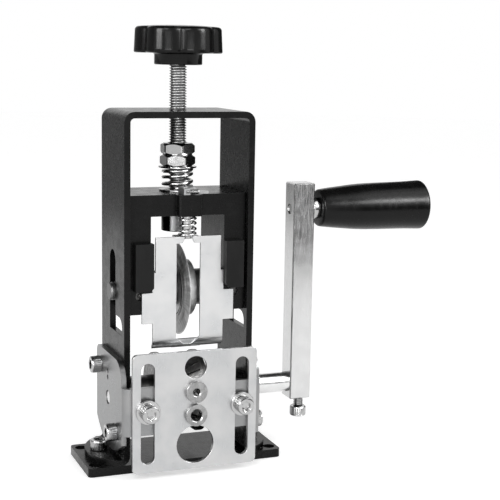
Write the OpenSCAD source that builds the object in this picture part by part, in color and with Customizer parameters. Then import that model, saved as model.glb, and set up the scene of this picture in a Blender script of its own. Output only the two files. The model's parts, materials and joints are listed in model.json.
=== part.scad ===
// Hand crank wire stripper: an arch frame on a flat base, a crank driven feed roller,
// and a round blade in a sliding fork that a knob and screw press down on the cable.
// Lengths are millimetres. X is to the right, Y to the back, Z up. The front faces -Y.
// The origin is on the table, under the middle of the base.

/* [Base] */
// Width of the base plate
base_w = 116.8; // [114:0.2:128]
// Depth of the base plate
base_d = 46; // [44:0.5:58]
// Thickness of the base plate
base_t = 5; // [4:0.5:8]
// Radius of the base plate's corners
base_corner_r = 2.5; // [1:0.5:3]
// Diameter of the four mounting holes
base_hole_d = 7; // [5:0.5:7.5]
// Mounting hole centres, in from the short sides
base_hole_inset_x = 5.1; // [4.6:0.1:5.5]
// Mounting hole centres, in from the long sides
base_hole_inset_y = 6.5; // [4.6:0.1:7]

/* [Arch frame] */
// Outer width of the arch
arch_w = 76.7; // [75:0.1:79]
// Depth of the arch strip
arch_d = 48; // [47:0.5:52]
// Height of the arch above the base
arch_h = 200; // [198:1:210]
// Thickness of the arch strip
arch_t = 3.6; // [3:0.1:4]
// Outer radius of the two top bends
arch_bend_r = 6; // [4.5:0.5:8]
// Reach of each foot beyond its leg
foot_len = 16; // [15.5:0.5:17]
// Radius of the round end of each foot
foot_end_r = 29.6; // [28:0.2:31]
// Inner radius of the bend above each foot
foot_bend_r = 1.8; // [1:0.2:2.4]
// Width of the slot in each leg
leg_slot_w = 12; // [11.5:0.5:14]
// Slot's top end above the blade axle
slot_above_axle = 24.3; // [24:0.1:28]
// Slot's bottom end below the blade axle
slot_below_axle = 22.2; // [21:0.1:24]
// Reach of the slot's wide lower part to the front
window_reach = 19.6; // [16:0.1:20.5]
// Height of the slot's wide lower part
window_h = 9.6; // [8:0.2:14]
// Radius of the wide part's upper front corner
window_corner_r = 6; // [3:0.5:8]

/* [Brackets] */
// Thickness of the bracket sheet
bracket_t = 3; // [2.5:0.1:3.4]
// Depth of the bracket's side plate behind the shaft axis
bracket_back = 24.8; // [22:0.2:26]
// Reach of the bracket's flange in front of the shaft axis
bracket_front = 33.5; // [32:0.5:36]
// Height of the side plate above the shaft axis
bracket_up = 26.8; // [24:0.2:29]
// Height of the side plate below the shaft axis
bracket_down = 28.8; // [27:0.2:28.8]
// Radius of the side plate's lower edge
bracket_arc_r = 41; // [36:0.5:60]
// Radius of the side plate's upper front corner
bracket_nose_r = 12; // [6:0.5:14]
// Outer radius of the bend from side plate to flange
bracket_bend_r = 4.5; // [3.8:0.1:6]
// Height of the front flange
flange_h = 27.5; // [24:0.5:31]
// Distance from the shaft axis down to the middle of the flange
flange_drop = 0.7; // [0:0.1:1.5]
// Distance from the middle of the object to the inner end of each flange
flange_end = 21; // [18:0.5:22]
// Diameter of the two small holes in the side plate
pilot_hole_d = 2.8; // [2:0.2:3.2]

/* [Front plate] */
// Width of the front plate
plate_w = 73.7; // [72:0.1:76]
// Height of the front plate
plate_h = 68.5; // [67:0.5:72]
// Thickness of the front plate
plate_t = 2.5; // [2:0.1:3]
// Radius of the front plate's corners
plate_corner_r = 3; // [1:0.5:5]
// Clear height under the front plate
plate_lift = 3.6; // [3.3:0.1:5]
// Distance between the front plate's two slots
plate_slot_spacing = 56; // [55:0.5:57]
// Width of each slot in the front plate
plate_slot_w = 8; // [7:0.2:9]
// Distance from each slot's ends to the front plate's top and bottom
plate_slot_margin = 5.25; // [4.25:0.25:6.25]
// Diameter of the upper cable hole
upper_hole_d = 13; // [10:0.5:14]
// Diameter of the lower cable hole
lower_hole_d = 22; // [18:0.5:24]
// Height of the upper cable hole above the table
upper_hole_z = 62.7; // [62:0.1:63.5]
// Height of the small guide bush above the table
small_bush_z = 48.8; // [48.4:0.1:49]
// Height of the large guide bush above the table
large_bush_z = 35.4; // [35.2:0.1:35.8]
// Height of the lower cable hole above the table
lower_hole_z = 17.9; // [16:0.1:18]
// Flange diameter of the guide bushes
bush_flange_d = 12.6; // [11:0.1:12.8]
// Flange thickness of the guide bushes
bush_flange_t = 2.6; // [1.5:0.1:4]
// Outer diameter of the guide bushes' sleeves
bush_sleeve_d = 9; // [8.4:0.2:9.6]
// Length of the sleeves behind the plate
bush_tail = 1; // [0.5:0.1:2]
// Bore of the small guide bush
small_bore_d = 3.8; // [2:0.1:4.5]
// Bore of the large guide bush
large_bore_d = 6.4; // [5:0.1:7]

/* [Drive] */
// Height of the crank shaft above the base
shaft_rise = 34.3; // [34:0.1:36]
// Diameter of the crank shaft
shaft_d = 12; // [10:0.5:12.5]
// Diameter of the shaft's left journal
journal_d = 8; // [7:0.5:9]
// Length of the journal inside the left leg
journal_len = 5; // [4:0.5:6]
// Outer diameter of the shaft bushes
shaft_bush_d = 16; // [15:0.5:17]
// Flange diameter of the shaft bushes
shaft_bush_flange_d = 19; // [18:0.5:22]
// Flange thickness of the shaft bushes
shaft_bush_flange_t = 3; // [2:0.5:4]
// Diameter of the feed roller
roller_d = 48.2; // [46:0.2:49]
// Width of the feed roller
roller_w = 26; // [24:0.5:28]
// Width of the flat rim at each side of the roller
roller_land = 2.4; // [2:0.1:3]
// Diameter at the bottom of the roller's V groove
groove_root_d = 33; // [30:0.5:36]
// Width of the flat at the bottom of the V groove
groove_flat = 1.4; // [1:0.1:2.4]
// Number of gripping slots on each side of the groove
tooth_count = 24; // [12:1:28]
// Width of a gripping slot
tooth_w = 1.4; // [1:0.1:1.8]
// Depth of a gripping slot
tooth_depth = 1.5; // [1:0.1:2]
// Diameter of the roller's two side collars
collar_d = 22; // [20:0.5:24]

/* [Crank] */
// Clear length of shaft between the right bracket and the arm
arm_standoff = 29.5; // [28:0.5:34]
// Side of the crank arm's square section
arm_side = 13.5; // [13:0.1:15]
// Chamfer along the arm's edges
arm_chamfer = 0.7; // [0.4:0.1:1.2]
// Distance from the crank shaft to the grip spindle
crank_throw = 106.5; // [90:0.5:120]
// Arm below the shaft axis
arm_below = 9.8; // [8:0.1:12]
// Arm above the spindle axis
arm_above = 15.8; // [12:0.1:18]
// Gap between the arm and the grip
grip_gap = 4.6; // [3.5:0.1:6]
// Length of the grip
grip_len = 71.5; // [65:0.5:80]
// Diameter of the grip's inner end
grip_small_d = 22; // [20:0.5:24]
// Diameter of the grip's outer end
grip_large_d = 30.2; // [28:0.2:33]
// Diameter of the spindle inside the grip
spindle_d = 8; // [7:0.5:8.5]
// Diameter of the spindle's end in the arm
spindle_end_d = 6.3; // [5:0.1:6.5]
// Diameter of the spindle's collar
spindle_collar_d = 13; // [12:0.5:14]

/* [Feed screw] */
// Diameter of the adjusting screw
screw_d = 10; // [9.5:0.1:10.5]
// Distance from the top of the arch to the knob
knob_rise = 25.3; // [24.3:0.1:32]
// Diameter of the knob across its lobes
knob_d = 50.5; // [46:0.5:56]
// Height of the knob's lobed part
knob_h = 15.6; // [13:0.1:18]
// Number of lobes on the knob
knob_lobes = 6; // [5:1:7]
// Radius of one lobe
lobe_r = 12.8; // [12.4:0.1:14]
// Diameter of the knob's hub
hub_d = 27.5; // [24:0.5:32]
// Height of the knob's hub
hub_h = 6.5; // [5:0.5:9]
// Size across the flats of the lock nuts
nut_af = 18; // [17:0.5:19]
// Height of one lock nut
nut_h = 6.6; // [6:0.1:7]
// Diameter of the washer under the nuts
washer_d = 22; // [20:0.5:24]
// Thickness of the washer under the nuts
washer_t = 1; // [0.8:0.1:1.5]
// Fitted height of the main spring
spring_h = 12.3; // [11.8:0.1:13]
// Outer diameter of the main spring
spring_d = 18.4; // [17:0.1:20]
// Wire diameter of the main spring
spring_wire = 1.9; // [1.6:0.1:2]
// Turns of the main spring
spring_turns = 3.25; // [3:0.25:3.5]
// Diameter of the spring's seat
seat_d = 21; // [19:0.5:22]
// Thickness of the spring's seat
seat_t = 1; // [0.8:0.1:1.5]
// Diameter of the collar on the screw's lower end
end_collar_d = 18.2; // [16:0.2:18.4]
// Height of the collar on the screw's lower end
end_collar_h = 10.8; // [9:0.1:12]

/* [Blade carrier] */
// Height of the blade axle above the base
axle_rise = 96.8; // [96.3:0.1:97.3]
// Depth of the fork
carrier_d = 40; // [38:0.5:44]
// Height of the fork's top face above the blade axle
carrier_up = 56.9; // [56.2:0.1:58.2]
// Thickness of the fork's top bar
bar_t = 12.1; // [11:0.1:13]
// Width of each arm of the fork
fork_arm_w = 12.7; // [11.8:0.1:12.8]
// Fork arms below the blade axle
carrier_down = 10.6; // [9.3:0.1:13]
// Width of the boss in front of the bar
boss_w = 14; // [13:0.5:16]
// Reach of the boss in front of the bar
boss_reach = 5; // [4:0.5:6]
// Diameter of the blade axle
axle_d = 10.4; // [9.5:0.1:10.8]
// Axle standing proud of each leg
axle_proud = 2.2; // [1:0.1:4]
// Width of each guide block
block_w = 10.7; // [9:0.1:11.5]
// Height of each guide block
block_h = 27; // [24:0.5:30]
// Thickness of each guide block
block_t = 5.5; // [4:0.5:6.5]
// Lower end of the guide blocks above the blade axle
block_up = 3.2; // [2.8:0.1:4]

/* [Blade] */
// Diameter of the blade
blade_d = 54.6; // [50:0.2:55]
// Diameter where the blade's bevels start
bevel_d = 33; // [33:0.5:42]
// Thickness of the blade to the left of its edge
blade_left = 1.8; // [1.5:0.1:4]
// Thickness of the blade to the right of its edge
blade_right = 3; // [2:0.1:4]
// The edge's distance to the left of the middle
edge_offset = 0.4; // [0:0.1:2]
// Diameter of the ring that clamps the blade
hub_ring_d = 33; // [30:0.5:36]
// Thickness of the ring that clamps the blade
hub_ring_t = 4.8; // [3:0.1:6]
// Diameter of the spacers beside the blade
spacer_d = 21; // [19:0.5:23]

/* [Presser] */
// Thickness of the presser's sheet
presser_t = 1.5; // [1.2:0.1:1.8]
// Width of the presser's upper part
presser_top_w = 38.9; // [37:0.1:41]
// Width of the presser between the guide blocks
presser_guided_w = 42.4; // [42:0.1:43]
// Width of the presser's shoulders
presser_wide_w = 54.6; // [50:0.2:60]
// Width of the presser's lower part
presser_low_w = 42; // [39:0.2:45]
// Width of the slot that the blade stands in
presser_slot_w = 14.2; // [12:0.2:15]
// Width of the tongue under the presser
tongue_w = 17; // [15:0.2:18]
// Travel of the presser before its shoulders meet the guide blocks
presser_travel = 1.4; // [1.3:0.1:2]
// Thickness of the stop plate behind the presser's spring
stop_t = 2.6; // [2:0.1:2.8]
// Height of the stop plate
stop_h = 9.8; // [8:0.1:10.4]
// Diameter of the presser's guide pin
guide_pin_d = 7; // [6:0.1:7.6]
// Outer diameter of the presser's spring
presser_spring_d = 10.8; // [10.4:0.1:11.2]
// Wire diameter of the presser's spring
presser_wire = 1.1; // [0.9:0.1:1.3]
// Turns of the presser's spring
presser_turns = 4.25; // [3:0.25:4.5]

/* [Fasteners] */
// Thread diameter of the socket head bolts
bolt_d = 6; // [5.5:0.1:6.2]
// Head diameter of the socket head bolts
bolt_head_d = 10; // [9.5:0.1:10.5]
// Head height of the socket head bolts
bolt_head_h = 6; // [5:0.1:6.5]
// Socket of the bolts, across the flats
bolt_socket_af = 5; // [4:0.1:5.2]
// Depth of the socket
bolt_socket_depth = 3; // [2:0.1:3.5]
// Diameter of the clamp bolts' washers
clamp_washer_d = 13.8; // [12:0.1:15]
// Thickness of the clamp bolts' washers
clamp_washer_t = 1.6; // [1:0.1:2]

/* [Clearances] */
// Side clearance between the fork and the legs
fork_gap = 0.3; // [0.2:0.05:0.4]
// Clearance of parts that turn or slide on each other
run_gap = 0.06; // [0.03:0.01:0.09]
// Clearance of parts that are fixed in each other
seat_gap = 0.04; // [0.02:0.01:0.08]
// Clearance at the sides of parts that turn
side_gap = 0.25; // [0.15:0.05:0.3]

/* [Hidden] */
$fn = 96;

// Overrun of cutting shapes
over = 1;

// Heights of the main axes and faces
shaft_z = base_t + shaft_rise;
arch_top = base_t + arch_h;
axle_z = base_t + axle_rise;
carrier_top = axle_z + carrier_up;
bar_bottom = carrier_top - bar_t;
seat_top = carrier_top + seat_t;
washer_z = seat_top + spring_h;
nut_z = washer_z + washer_t;
knob_z = arch_top + knob_rise;
spindle_z = shaft_z + crank_throw;

// Faces of the arch, seen along X
leg_out = arch_w / 2;
leg_in = leg_out - arch_t;
foot_out = leg_out + foot_len;
bend_x = leg_out + foot_bend_r;

// Bracket
bracket_out = leg_out + bracket_t;
flange_y = -bracket_front;
bracket_top_r = 5;
bracket_arc_y = (bracket_back - bracket_front) / 2;
bolt_dy_share = 0.69;
bolt_dz_share = 0.57;
bolt_dy = bracket_back * bolt_dy_share;
bolt_dz = flange_h * bolt_dz_share;
pilot_rise_shares = [0.45, 0.59];

// Bolts
foot_bolt_share = 0.53;
foot_bolt_x = leg_out + foot_len * foot_bolt_share;
bolt_tail = 2;
clamp_bolt_tail = 2.5;
washer_bore_gap = 0.2;

// Front plate
plate_back_y = flange_y - run_gap;
plate_front_y = plate_back_y - plate_t;
clamp_x = plate_slot_spacing / 2;
plate_slot_len = plate_h - 2 * plate_slot_margin;
slot_mid_z = plate_lift + plate_h / 2;

// Drive, from the left journal to the arm
journal_reach_share = 0.85;
journal_end = leg_out + bracket_t * journal_reach_share;
journal_x = -leg_in + journal_len;
arm_x = bracket_out + arm_standoff;
arm_mid_x = arm_x + arm_side / 2;
arm_out = arm_x + arm_side;
bush_face = leg_in - shaft_bush_flange_t;
collar_len = bush_face - side_gap - roller_w / 2;
collar_screw_d = 5;
collar_screw_recess = 0.8;
shaft_chamfer = 0.7;
arm_screw_d = bolt_d;
arm_screw_share = 0.12;
arm_screw_x = arm_mid_x + arm_side * arm_screw_share;
arm_screw_gap = 6.2;
shaft_flat = 0.8;

// Grip and spindle
grip_x = arm_out + grip_gap;
grip_end = grip_x + grip_len;
sleeve_wall = 1.5;
sleeve_d = spindle_d + 2 * sleeve_wall;
spindle_recess = 0.6;
plug_t = 4;
plug_wall = 2;
plug_d = sleeve_d + 2 * plug_wall;
clip_wall = 1.3;
clip_d = spindle_d + 2 * clip_wall;
clip_t = 1.2;
clip_space = 2.4;
grip_power = 2.4;
grip_steps = 12;
grip_edge_r = 1.6;
grip_dome = 1.2;
sleeve_end = grip_end - plug_t - clip_space;
spindle_end = grip_end - plug_t - run_gap;

// Screw, its collar and its knob
knob_bore = 9;
collar_top = bar_bottom - run_gap;
collar_bottom = collar_top - end_collar_h;
collar_pin_d = 3;
screw_recess = 1;
screw_end = collar_bottom + screw_recess;
knob_turn = -104;
knob_edge_r = 2.2;
knob_taper = 0.6;
knob_dome = 0.8;
nut_chamfer_share = 0.93;
lower_nut_turn = 16;
upper_nut_turn = 22;
socket_share = 0.75;

// Fork and its guides
fork_out = leg_in - fork_gap;
fork_in = fork_out - fork_arm_w;
fork_mid = (fork_out + fork_in) / 2;
fork_front = -carrier_d / 2;
arm_bottom = axle_z - carrier_down;
boss_front = fork_front - boss_reach;
boss_edge_r = 1.5;
block_in = presser_guided_w / 2 + run_gap + side_gap / 2;
block_z = axle_z + block_up;
block_chamfer = 2;
block_screw_d = 4;
block_screw_head_d = 7;
block_screw_head_h = 4;
block_screw_z = block_z + block_h / 2;
set_screw_d = 5;
set_screw_depth = 2;
axle_end = leg_out + axle_proud;
groove_w = 0.8;
groove_depth = 0.5;
groove_step_shares = [0.5, 1.25];

// Blade
blade_x = -edge_offset;
blade_left_x = blade_x - blade_left;
blade_right_x = blade_x + blade_right;
ring_x = blade_right_x + hub_ring_t;
ring_screw_d = 3;
ring_screw_head_d = 5.4;
ring_screw_head_h = 1.4;
ring_screw_count = 3;
ring_screw_r = (hub_ring_d + spacer_d) / 4;

// Presser
presser_back_y = fork_front - run_gap;
presser_front_y = presser_back_y - presser_t;
presser_spring_h = 11.7;
presser_top = bar_bottom - presser_spring_h;
shoulder_top = block_z - presser_travel;
shoulder_h = 17.6;
guided_h = 11.4;
bend_r = 6;
presser_drop = 31.6;
tongue_z = axle_z - presser_drop;
tongue_back = 6;
side_bend_share = 0.5;
curl_rise = 2.6;
slot_end_rise = 2.6;
slot_end_z = tongue_z + slot_end_rise;
slot_chamfer_h = 4.2;
slot_end_w = 4.6;
neck_w = 4.8;
neck_hs = [1.8, 3.6, 3.9];
neck_ws = [5, 7];
lug_back = 7.5;
pin_set_back = 1.5;
pin_y = fork_front + pin_set_back;
pin_stud_d = 5;
pin_foot_d = 5;
stop_left = 7.3;
stop_right = 3.5;
stop_front = 7.8;
keeper_h = 3.7;
keeper_half_w = 4.1;
keeper_front = 6;
keeper_back = 4;
keeper_step_x = 0.3;
keeper_step_y = 3.2;
keeper_arm_reach = 12;
keeper_arm_t = 1.6;
keeper_arm_front = 2;
keeper_screw_d = 2.8;
keeper_screw_len = 7.6;
keeper_screw_y = 4.7;
keeper_screw_rise = 1.7;

// Rings in one turn of a spring, and sides of its wire
turn_rings = 8;
wire_sides = 6;
// Least clear gap between neighbouring turns
turn_gap = 0.6;
// Where each spring's lower end starts, round its axis
main_start = -112;
presser_start = 122;

// Colours
black_paint = "#1c1c1e";
black_plastic = "#151517";
steel = "#c9cbd0";
bright_steel = "#dfe1e4";
dark_steel = "#4a4b4e";
grey_steel = "#97999d";
spring_steel = "#b4b6ba";

// Rectangle about the origin with round corners
module rounded_rect(w, h, r) {
    square([w - 2 * r, h], center = true);
    square([w, h - 2 * r], center = true);
    for (sx = [-1, 1], sy = [-1, 1]) translate([sx * (w / 2 - r), sy * (h / 2 - r)]) circle(r = r);
}

// Slot about the origin, upright
module upright_slot(w, len) {
    square([w, len - w], center = true);
    for (s = [-1, 1]) translate([0, s * (len - w) / 2]) circle(d = w);
}

// Raises a shape drawn in X and Z along Y, from y0 towards the front
module from_front(y0, t) {
    translate([0, y0, 0]) rotate([90, 0, 0]) linear_extrude(t) children();
}

// Raises a shape drawn in Y and Z along X, from x0 to the right
module from_side(x0, t) {
    translate([x0, 0, 0]) rotate([90, 0, 90]) linear_extrude(t) children();
}

// Rod along X from x0 to x1
module rod_x(x0, x1, d) {
    translate([x0, 0, 0]) rotate([0, 90, 0]) cylinder(d = d, h = x1 - x0);
}

// Rod along Y from y0 to y1
module rod_y(y0, y1, d) {
    translate([0, y1, 0]) rotate([90, 0, 0]) cylinder(d = d, h = y1 - y0);
}

// Turned piece about X, from points of radius and X
module turned_x(points) {
    rotate([0, 90, 0]) rotate_extrude() polygon(points);
}

// Socket head bolt: the head stands on z = 0 and the shank goes down
module cap_bolt(d, head_d, head_h, len, af, depth) {
    difference() {
        cylinder(d = head_d, h = head_h);
        translate([0, 0, head_h - depth]) cylinder(r = af / sqrt(3), h = depth + over, $fn = 6);
    }
    translate([0, 0, -len]) cylinder(d = d, h = len);
}

// One of this tool's common bolts
module common_bolt(len) {
    cap_bolt(bolt_d, bolt_head_d, bolt_head_h, len, bolt_socket_af, bolt_socket_depth);
}

// Flat washer standing on z = 0
module washer(outer_d, inner_d, t) {
    difference() {
        cylinder(d = outer_d, h = t);
        translate([0, 0, -over]) cylinder(d = inner_d, h = t + 2 * over);
    }
}

// Hexagon nut standing on z = 0, with chamfered corners
module hex_nut(af, h, bore) {
    corner_r = af / sqrt(3);
    edge = corner_r - af / 2 * nut_chamfer_share;
    difference() {
        intersection() {
            cylinder(r = corner_r, h = h, $fn = 6);
            rotate_extrude() polygon([
                [0, 0], [corner_r - edge, 0], [corner_r, edge * tan(30)],
                [corner_r, h - edge * tan(30)], [corner_r - edge, h], [0, h]
            ]);
        }
        translate([0, 0, -over]) cylinder(d = bore, h = h + 2 * over);
    }
}

// Height of a spring's wire centre after t turns: one close turn at each end, open between
function coil_z(t, turns, wire, h) =
    let (
        close = wire + turn_gap,
        open = (h - wire - 2 * close) / (turns - 2)
    )
    wire / 2 + (t < 1 ? close * t
        : t < turns - 1 ? close + open * (t - 1)
        : close + open * (turns - 2) + close * (t - turns + 1));

function coil_point(t, turns, wire, h, mean_r) =
    [mean_r * cos(360 * t), mean_r * sin(360 * t), coil_z(t, turns, wire, h)];

// Least distance between the surfaces of neighbouring turns
function coil_gap(turns, wire, h, mean_r) =
    let (n = floor(turns * turn_rings))
    min([
        for (i = [0:n], j = [i + turn_rings - 2:n]) if (j <= n)
            norm(coil_point(j / turn_rings, turns, wire, h, mean_r)
                - coil_point(i / turn_rings, turns, wire, h, mean_r)) - wire
    ]);

// Wound spring standing on z = 0, as one unbroken tube
module coil_spring(outer_d, wire, turns, h) {
    mean_r = (outer_d - wire) / 2;
    n = round(turns * turn_rings);
    points = [
        for (i = [0:n], k = [0:wire_sides - 1])
            let (
                t = i / turn_rings,
                a = 360 * t,
                b = 360 * k / wire_sides,
                c = coil_point(t, turns, wire, h, mean_r),
                r = wire / 2 / cos(180 / wire_sides)
            )
            c + r * [cos(b) * cos(a), cos(b) * sin(a), sin(b)]
    ];
    walls = [
        for (i = [0:n - 1], k = [0:wire_sides - 1])
            let (
                p = i * wire_sides + k,
                q = i * wire_sides + (k + 1) % wire_sides
            )
            each [[p, p + wire_sides, q], [q, p + wire_sides, q + wire_sides]]
    ];
    first_cap = [for (k = [1:wire_sides - 2]) [0, k, k + 1]];
    last = n * wire_sides;
    last_cap = [for (k = [1:wire_sides - 2]) [last, last + k + 1, last + k]];
    polyhedron(points, concat(walls, first_cap, last_cap), convexity = 8);
    echo(least_gap = coil_gap(turns, wire, h, mean_r));
}

module base_plate() color(black_paint) difference() {
    linear_extrude(base_t) rounded_rect(base_w, base_d, base_corner_r);
    for (sx = [-1, 1], sy = [-1, 1])
        translate([sx * (base_w / 2 - base_hole_inset_x), sy * (base_d / 2 - base_hole_inset_y)])
            translate([0, 0, -over]) cylinder(d = base_hole_d, h = base_t + 2 * over);
    for (sx = [-1, 1]) translate([sx * foot_bolt_x, 0, -over])
        cylinder(d = bolt_d + 2 * seat_gap, h = base_t + 2 * over);
}

// Outline of the arch strip's outer or inner side
module arch_outline(half_w, top, r, bottom) {
    translate([-half_w, bottom]) square([2 * half_w, top - r - bottom]);
    translate([-half_w + r, top - r - over]) square([2 * (half_w - r), r + over]);
    for (s = [-1, 1]) translate([s * (half_w - r), top - r]) circle(r = r);
}

// Quarter bend from a leg into its foot
module foot_bend() {
    translate([bend_x, base_t + arch_t + foot_bend_r]) intersection() {
        difference() {
            circle(r = foot_bend_r + arch_t);
            circle(r = foot_bend_r);
        }
        translate([-bend_x, -bend_x]) square([bend_x, bend_x]);
    }
}

// Slot in a leg with its wide lower part
module leg_slot() {
    bottom = axle_z - slot_below_axle;
    top = axle_z + slot_above_axle;
    translate([-leg_slot_w / 2, bottom]) square([leg_slot_w, top - bottom - leg_slot_w / 2]);
    translate([0, top - leg_slot_w / 2]) circle(d = leg_slot_w);
    intersection() {
        translate([-window_reach, bottom]) square([window_reach, window_h]);
        union() {
            translate([window_corner_r - window_reach, bottom]) square([window_reach, window_h]);
            translate([-window_reach, bottom]) square([window_reach, window_h - window_corner_r]);
            translate([window_corner_r - window_reach, bottom + window_h - window_corner_r])
                circle(r = window_corner_r);
        }
    }
}

module arch_frame() color(black_paint) difference() {
    union() {
        leg_bottom = base_t + arch_t + foot_bend_r;
        from_front(arch_d / 2, arch_d) difference() {
            arch_outline(leg_out, arch_top, arch_bend_r, leg_bottom);
            arch_outline(leg_in, arch_top - arch_t, arch_bend_r - arch_t, leg_bottom - over);
        }
        for (s = [0, 1]) mirror([s, 0, 0]) {
            from_front(arch_d / 2, arch_d) foot_bend();
            translate([0, 0, base_t]) linear_extrude(arch_t) intersection() {
                translate([bend_x, -arch_d / 2]) square([foot_len, arch_d]);
                translate([foot_out - foot_end_r, 0]) circle(r = foot_end_r);
            }
        }
    }
    from_side(-leg_out - over, 2 * (leg_out + over)) leg_slot();
    translate([0, 0, arch_top - arch_t - over])
        cylinder(d = screw_d + 2 * run_gap, h = arch_t + 2 * over);
    translate([0, 0, shaft_z])
        rod_x(-leg_out - over, leg_out + over, shaft_bush_d + 2 * seat_gap);
    for (s = [-1, 1]) {
        translate([0, s * bolt_dy, shaft_z + s * bolt_dz])
            rod_x(-leg_out - over, leg_out + over, bolt_d + 2 * seat_gap);
        translate([s * foot_bolt_x, 0, base_t - over])
            cylinder(d = bolt_d + 2 * seat_gap, h = arch_t + 2 * over);
    }
}

// Bracket's section seen from above, for the right side
module bracket_section() {
    r = bracket_bend_r;
    translate([leg_out, flange_y + r]) square([bracket_t, bracket_back + bracket_front - r]);
    translate([flange_end, flange_y]) square([bracket_out - r - flange_end, bracket_t]);
    translate([bracket_out - r, flange_y + r]) intersection() {
        difference() {
            circle(r = r);
            circle(r = r - bracket_t);
        }
        translate([0, -r]) square([r, r]);
    }
}

// Bracket's outline seen from the side
module bracket_outline() {
    low = shaft_z - bracket_down;
    high = shaft_z + bracket_up;
    back = bracket_back;
    front = flange_y + bracket_bend_r;
    nose = bracket_nose_r;
    k = bracket_top_r;
    intersection() {
        translate([bracket_arc_y, low + bracket_arc_r]) circle(r = bracket_arc_r);
        union() {
            translate([front, low]) square([back - front, high - low - nose]);
            translate([front + nose, low]) square([back - k - front - nose, high - low]);
            translate([back - k - over, low]) square([k + over, high - low - k]);
            translate([front + nose, high - nose]) circle(r = nose);
            translate([back - k, high - k]) circle(r = k);
        }
    }
    translate([flange_y - over, shaft_z - flange_drop - flange_h / 2]) square([bracket_front, flange_h]);
}

// Bracket of the right side, with a hole of the given size for the shaft
module bracket(shaft_hole_d) {
    difference() {
        intersection() {
            linear_extrude(arch_top) bracket_section();
            from_side(0, bracket_out + over) bracket_outline();
        }
        translate([0, 0, shaft_z]) rod_x(leg_out - over, bracket_out + over, shaft_hole_d);
        for (s = [-1, 1]) translate([0, s * bolt_dy, shaft_z + s * bolt_dz])
            rod_x(leg_out - over, bracket_out + over, bolt_d + 2 * seat_gap);
        for (share = pilot_rise_shares) translate([0, 0, shaft_z + share * bracket_up])
            rod_x(leg_out - over, bracket_out + over, pilot_hole_d);
        translate([clamp_x, 0, shaft_z])
            rod_y(flange_y - over, flange_y + bracket_t + over, bolt_d + 2 * seat_gap);
    }
}

module left_bracket() color(steel) mirror([1, 0, 0]) bracket(journal_d + 2 * run_gap);

module right_bracket() color(steel) bracket(shaft_d + 2 * run_gap);

module bracket_bolts() color(bright_steel) {
    for (m = [0, 1], s = [-1, 1]) mirror([m, 0, 0])
        translate([bracket_out, s * bolt_dy, shaft_z + s * bolt_dz])
            rotate([0, 90, 0]) common_bolt(bracket_t + arch_t + bolt_tail);
}

module foot_bolts() color(bright_steel) {
    for (s = [-1, 1]) translate([s * foot_bolt_x, 0, base_t + arch_t]) common_bolt(arch_t + base_t);
}

module clamp_bolts() color(bright_steel) {
    for (s = [-1, 1]) translate([s * clamp_x, plate_front_y - run_gap - clamp_washer_t, shaft_z])
        rotate([90, 0, 0])
            common_bolt(clamp_washer_t + 2 * run_gap + plate_t + bracket_t + clamp_bolt_tail);
}

module clamp_washers() color(bright_steel) {
    for (s = [-1, 1]) translate([s * clamp_x, plate_front_y - run_gap, shaft_z])
        rotate([90, 0, 0]) washer(clamp_washer_d, bolt_d + 2 * washer_bore_gap, clamp_washer_t);
}

// Flanged bush in the right leg, with its flange inside
module shaft_bush(bore_d) {
    translate([0, 0, shaft_z]) turned_x([
        [bore_d / 2, bush_face], [shaft_bush_flange_d / 2, bush_face],
        [shaft_bush_flange_d / 2, leg_in], [shaft_bush_d / 2, leg_in],
        [shaft_bush_d / 2, leg_out], [bore_d / 2, leg_out]
    ]);
}

module shaft_bushes() color(dark_steel) {
    shaft_bush(shaft_d + 2 * run_gap);
    mirror([1, 0, 0]) shaft_bush(journal_d + 2 * run_gap);
}

module front_plate() color(steel) from_front(plate_back_y, plate_t) difference() {
    translate([0, slot_mid_z]) rounded_rect(plate_w, plate_h, plate_corner_r);
    for (s = [-1, 1])
        translate([s * clamp_x, slot_mid_z]) upright_slot(plate_slot_w, plate_slot_len);
    translate([0, upper_hole_z]) circle(d = upper_hole_d);
    translate([0, lower_hole_z]) circle(d = lower_hole_d);
    for (z = [small_bush_z, large_bush_z])
        translate([0, z]) circle(d = bush_sleeve_d + 2 * seat_gap);
}

// Guide bush in the front plate
module guide_bush(z, bore_d) color(grey_steel) difference() {
    translate([0, 0, z]) {
        rod_y(plate_front_y - bush_flange_t, plate_front_y, bush_flange_d);
        rod_y(plate_front_y - over, plate_back_y + bush_tail, bush_sleeve_d);
    }
    translate([0, 0, z])
        rod_y(plate_front_y - bush_flange_t - over, plate_back_y + bush_tail + over, bore_d);
}

module small_bush() guide_bush(small_bush_z, small_bore_d);

module large_bush() guide_bush(large_bush_z, large_bore_d);

module crank_shaft() color(bright_steel) translate([0, 0, shaft_z]) difference() {
    turned_x([
        [0, -journal_end], [journal_d / 2 - shaft_chamfer, -journal_end],
        [journal_d / 2, -journal_end + shaft_chamfer], [journal_d / 2, journal_x - journal_len],
        [journal_d / 2, -bush_face + side_gap], [shaft_d / 2, -bush_face + side_gap],
        [shaft_d / 2, arm_out - shaft_chamfer], [shaft_d / 2 - shaft_chamfer, arm_out], [0, arm_out]
    ]);
    translate([arm_x, -shaft_d, -shaft_d - shaft_d / 2 + shaft_flat])
        cube([arm_side + over, 2 * shaft_d, shaft_d]);
}

// Gripping slot on the right side of the V groove, at the top of the roller
module grip_slot() {
    root = groove_root_d / 2;
    run = roller_w / 2 - roller_land - groove_flat / 2;
    slope = atan2(roller_d / 2 - root, run);
    flank = run / cos(slope);
    translate([groove_flat / 2, 0, root]) rotate([0, -slope, 0])
        translate([tooth_depth, -tooth_w / 2, -tooth_depth])
            cube([flank - tooth_depth - tooth_w, tooth_w, 2 * tooth_depth]);
}

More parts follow.
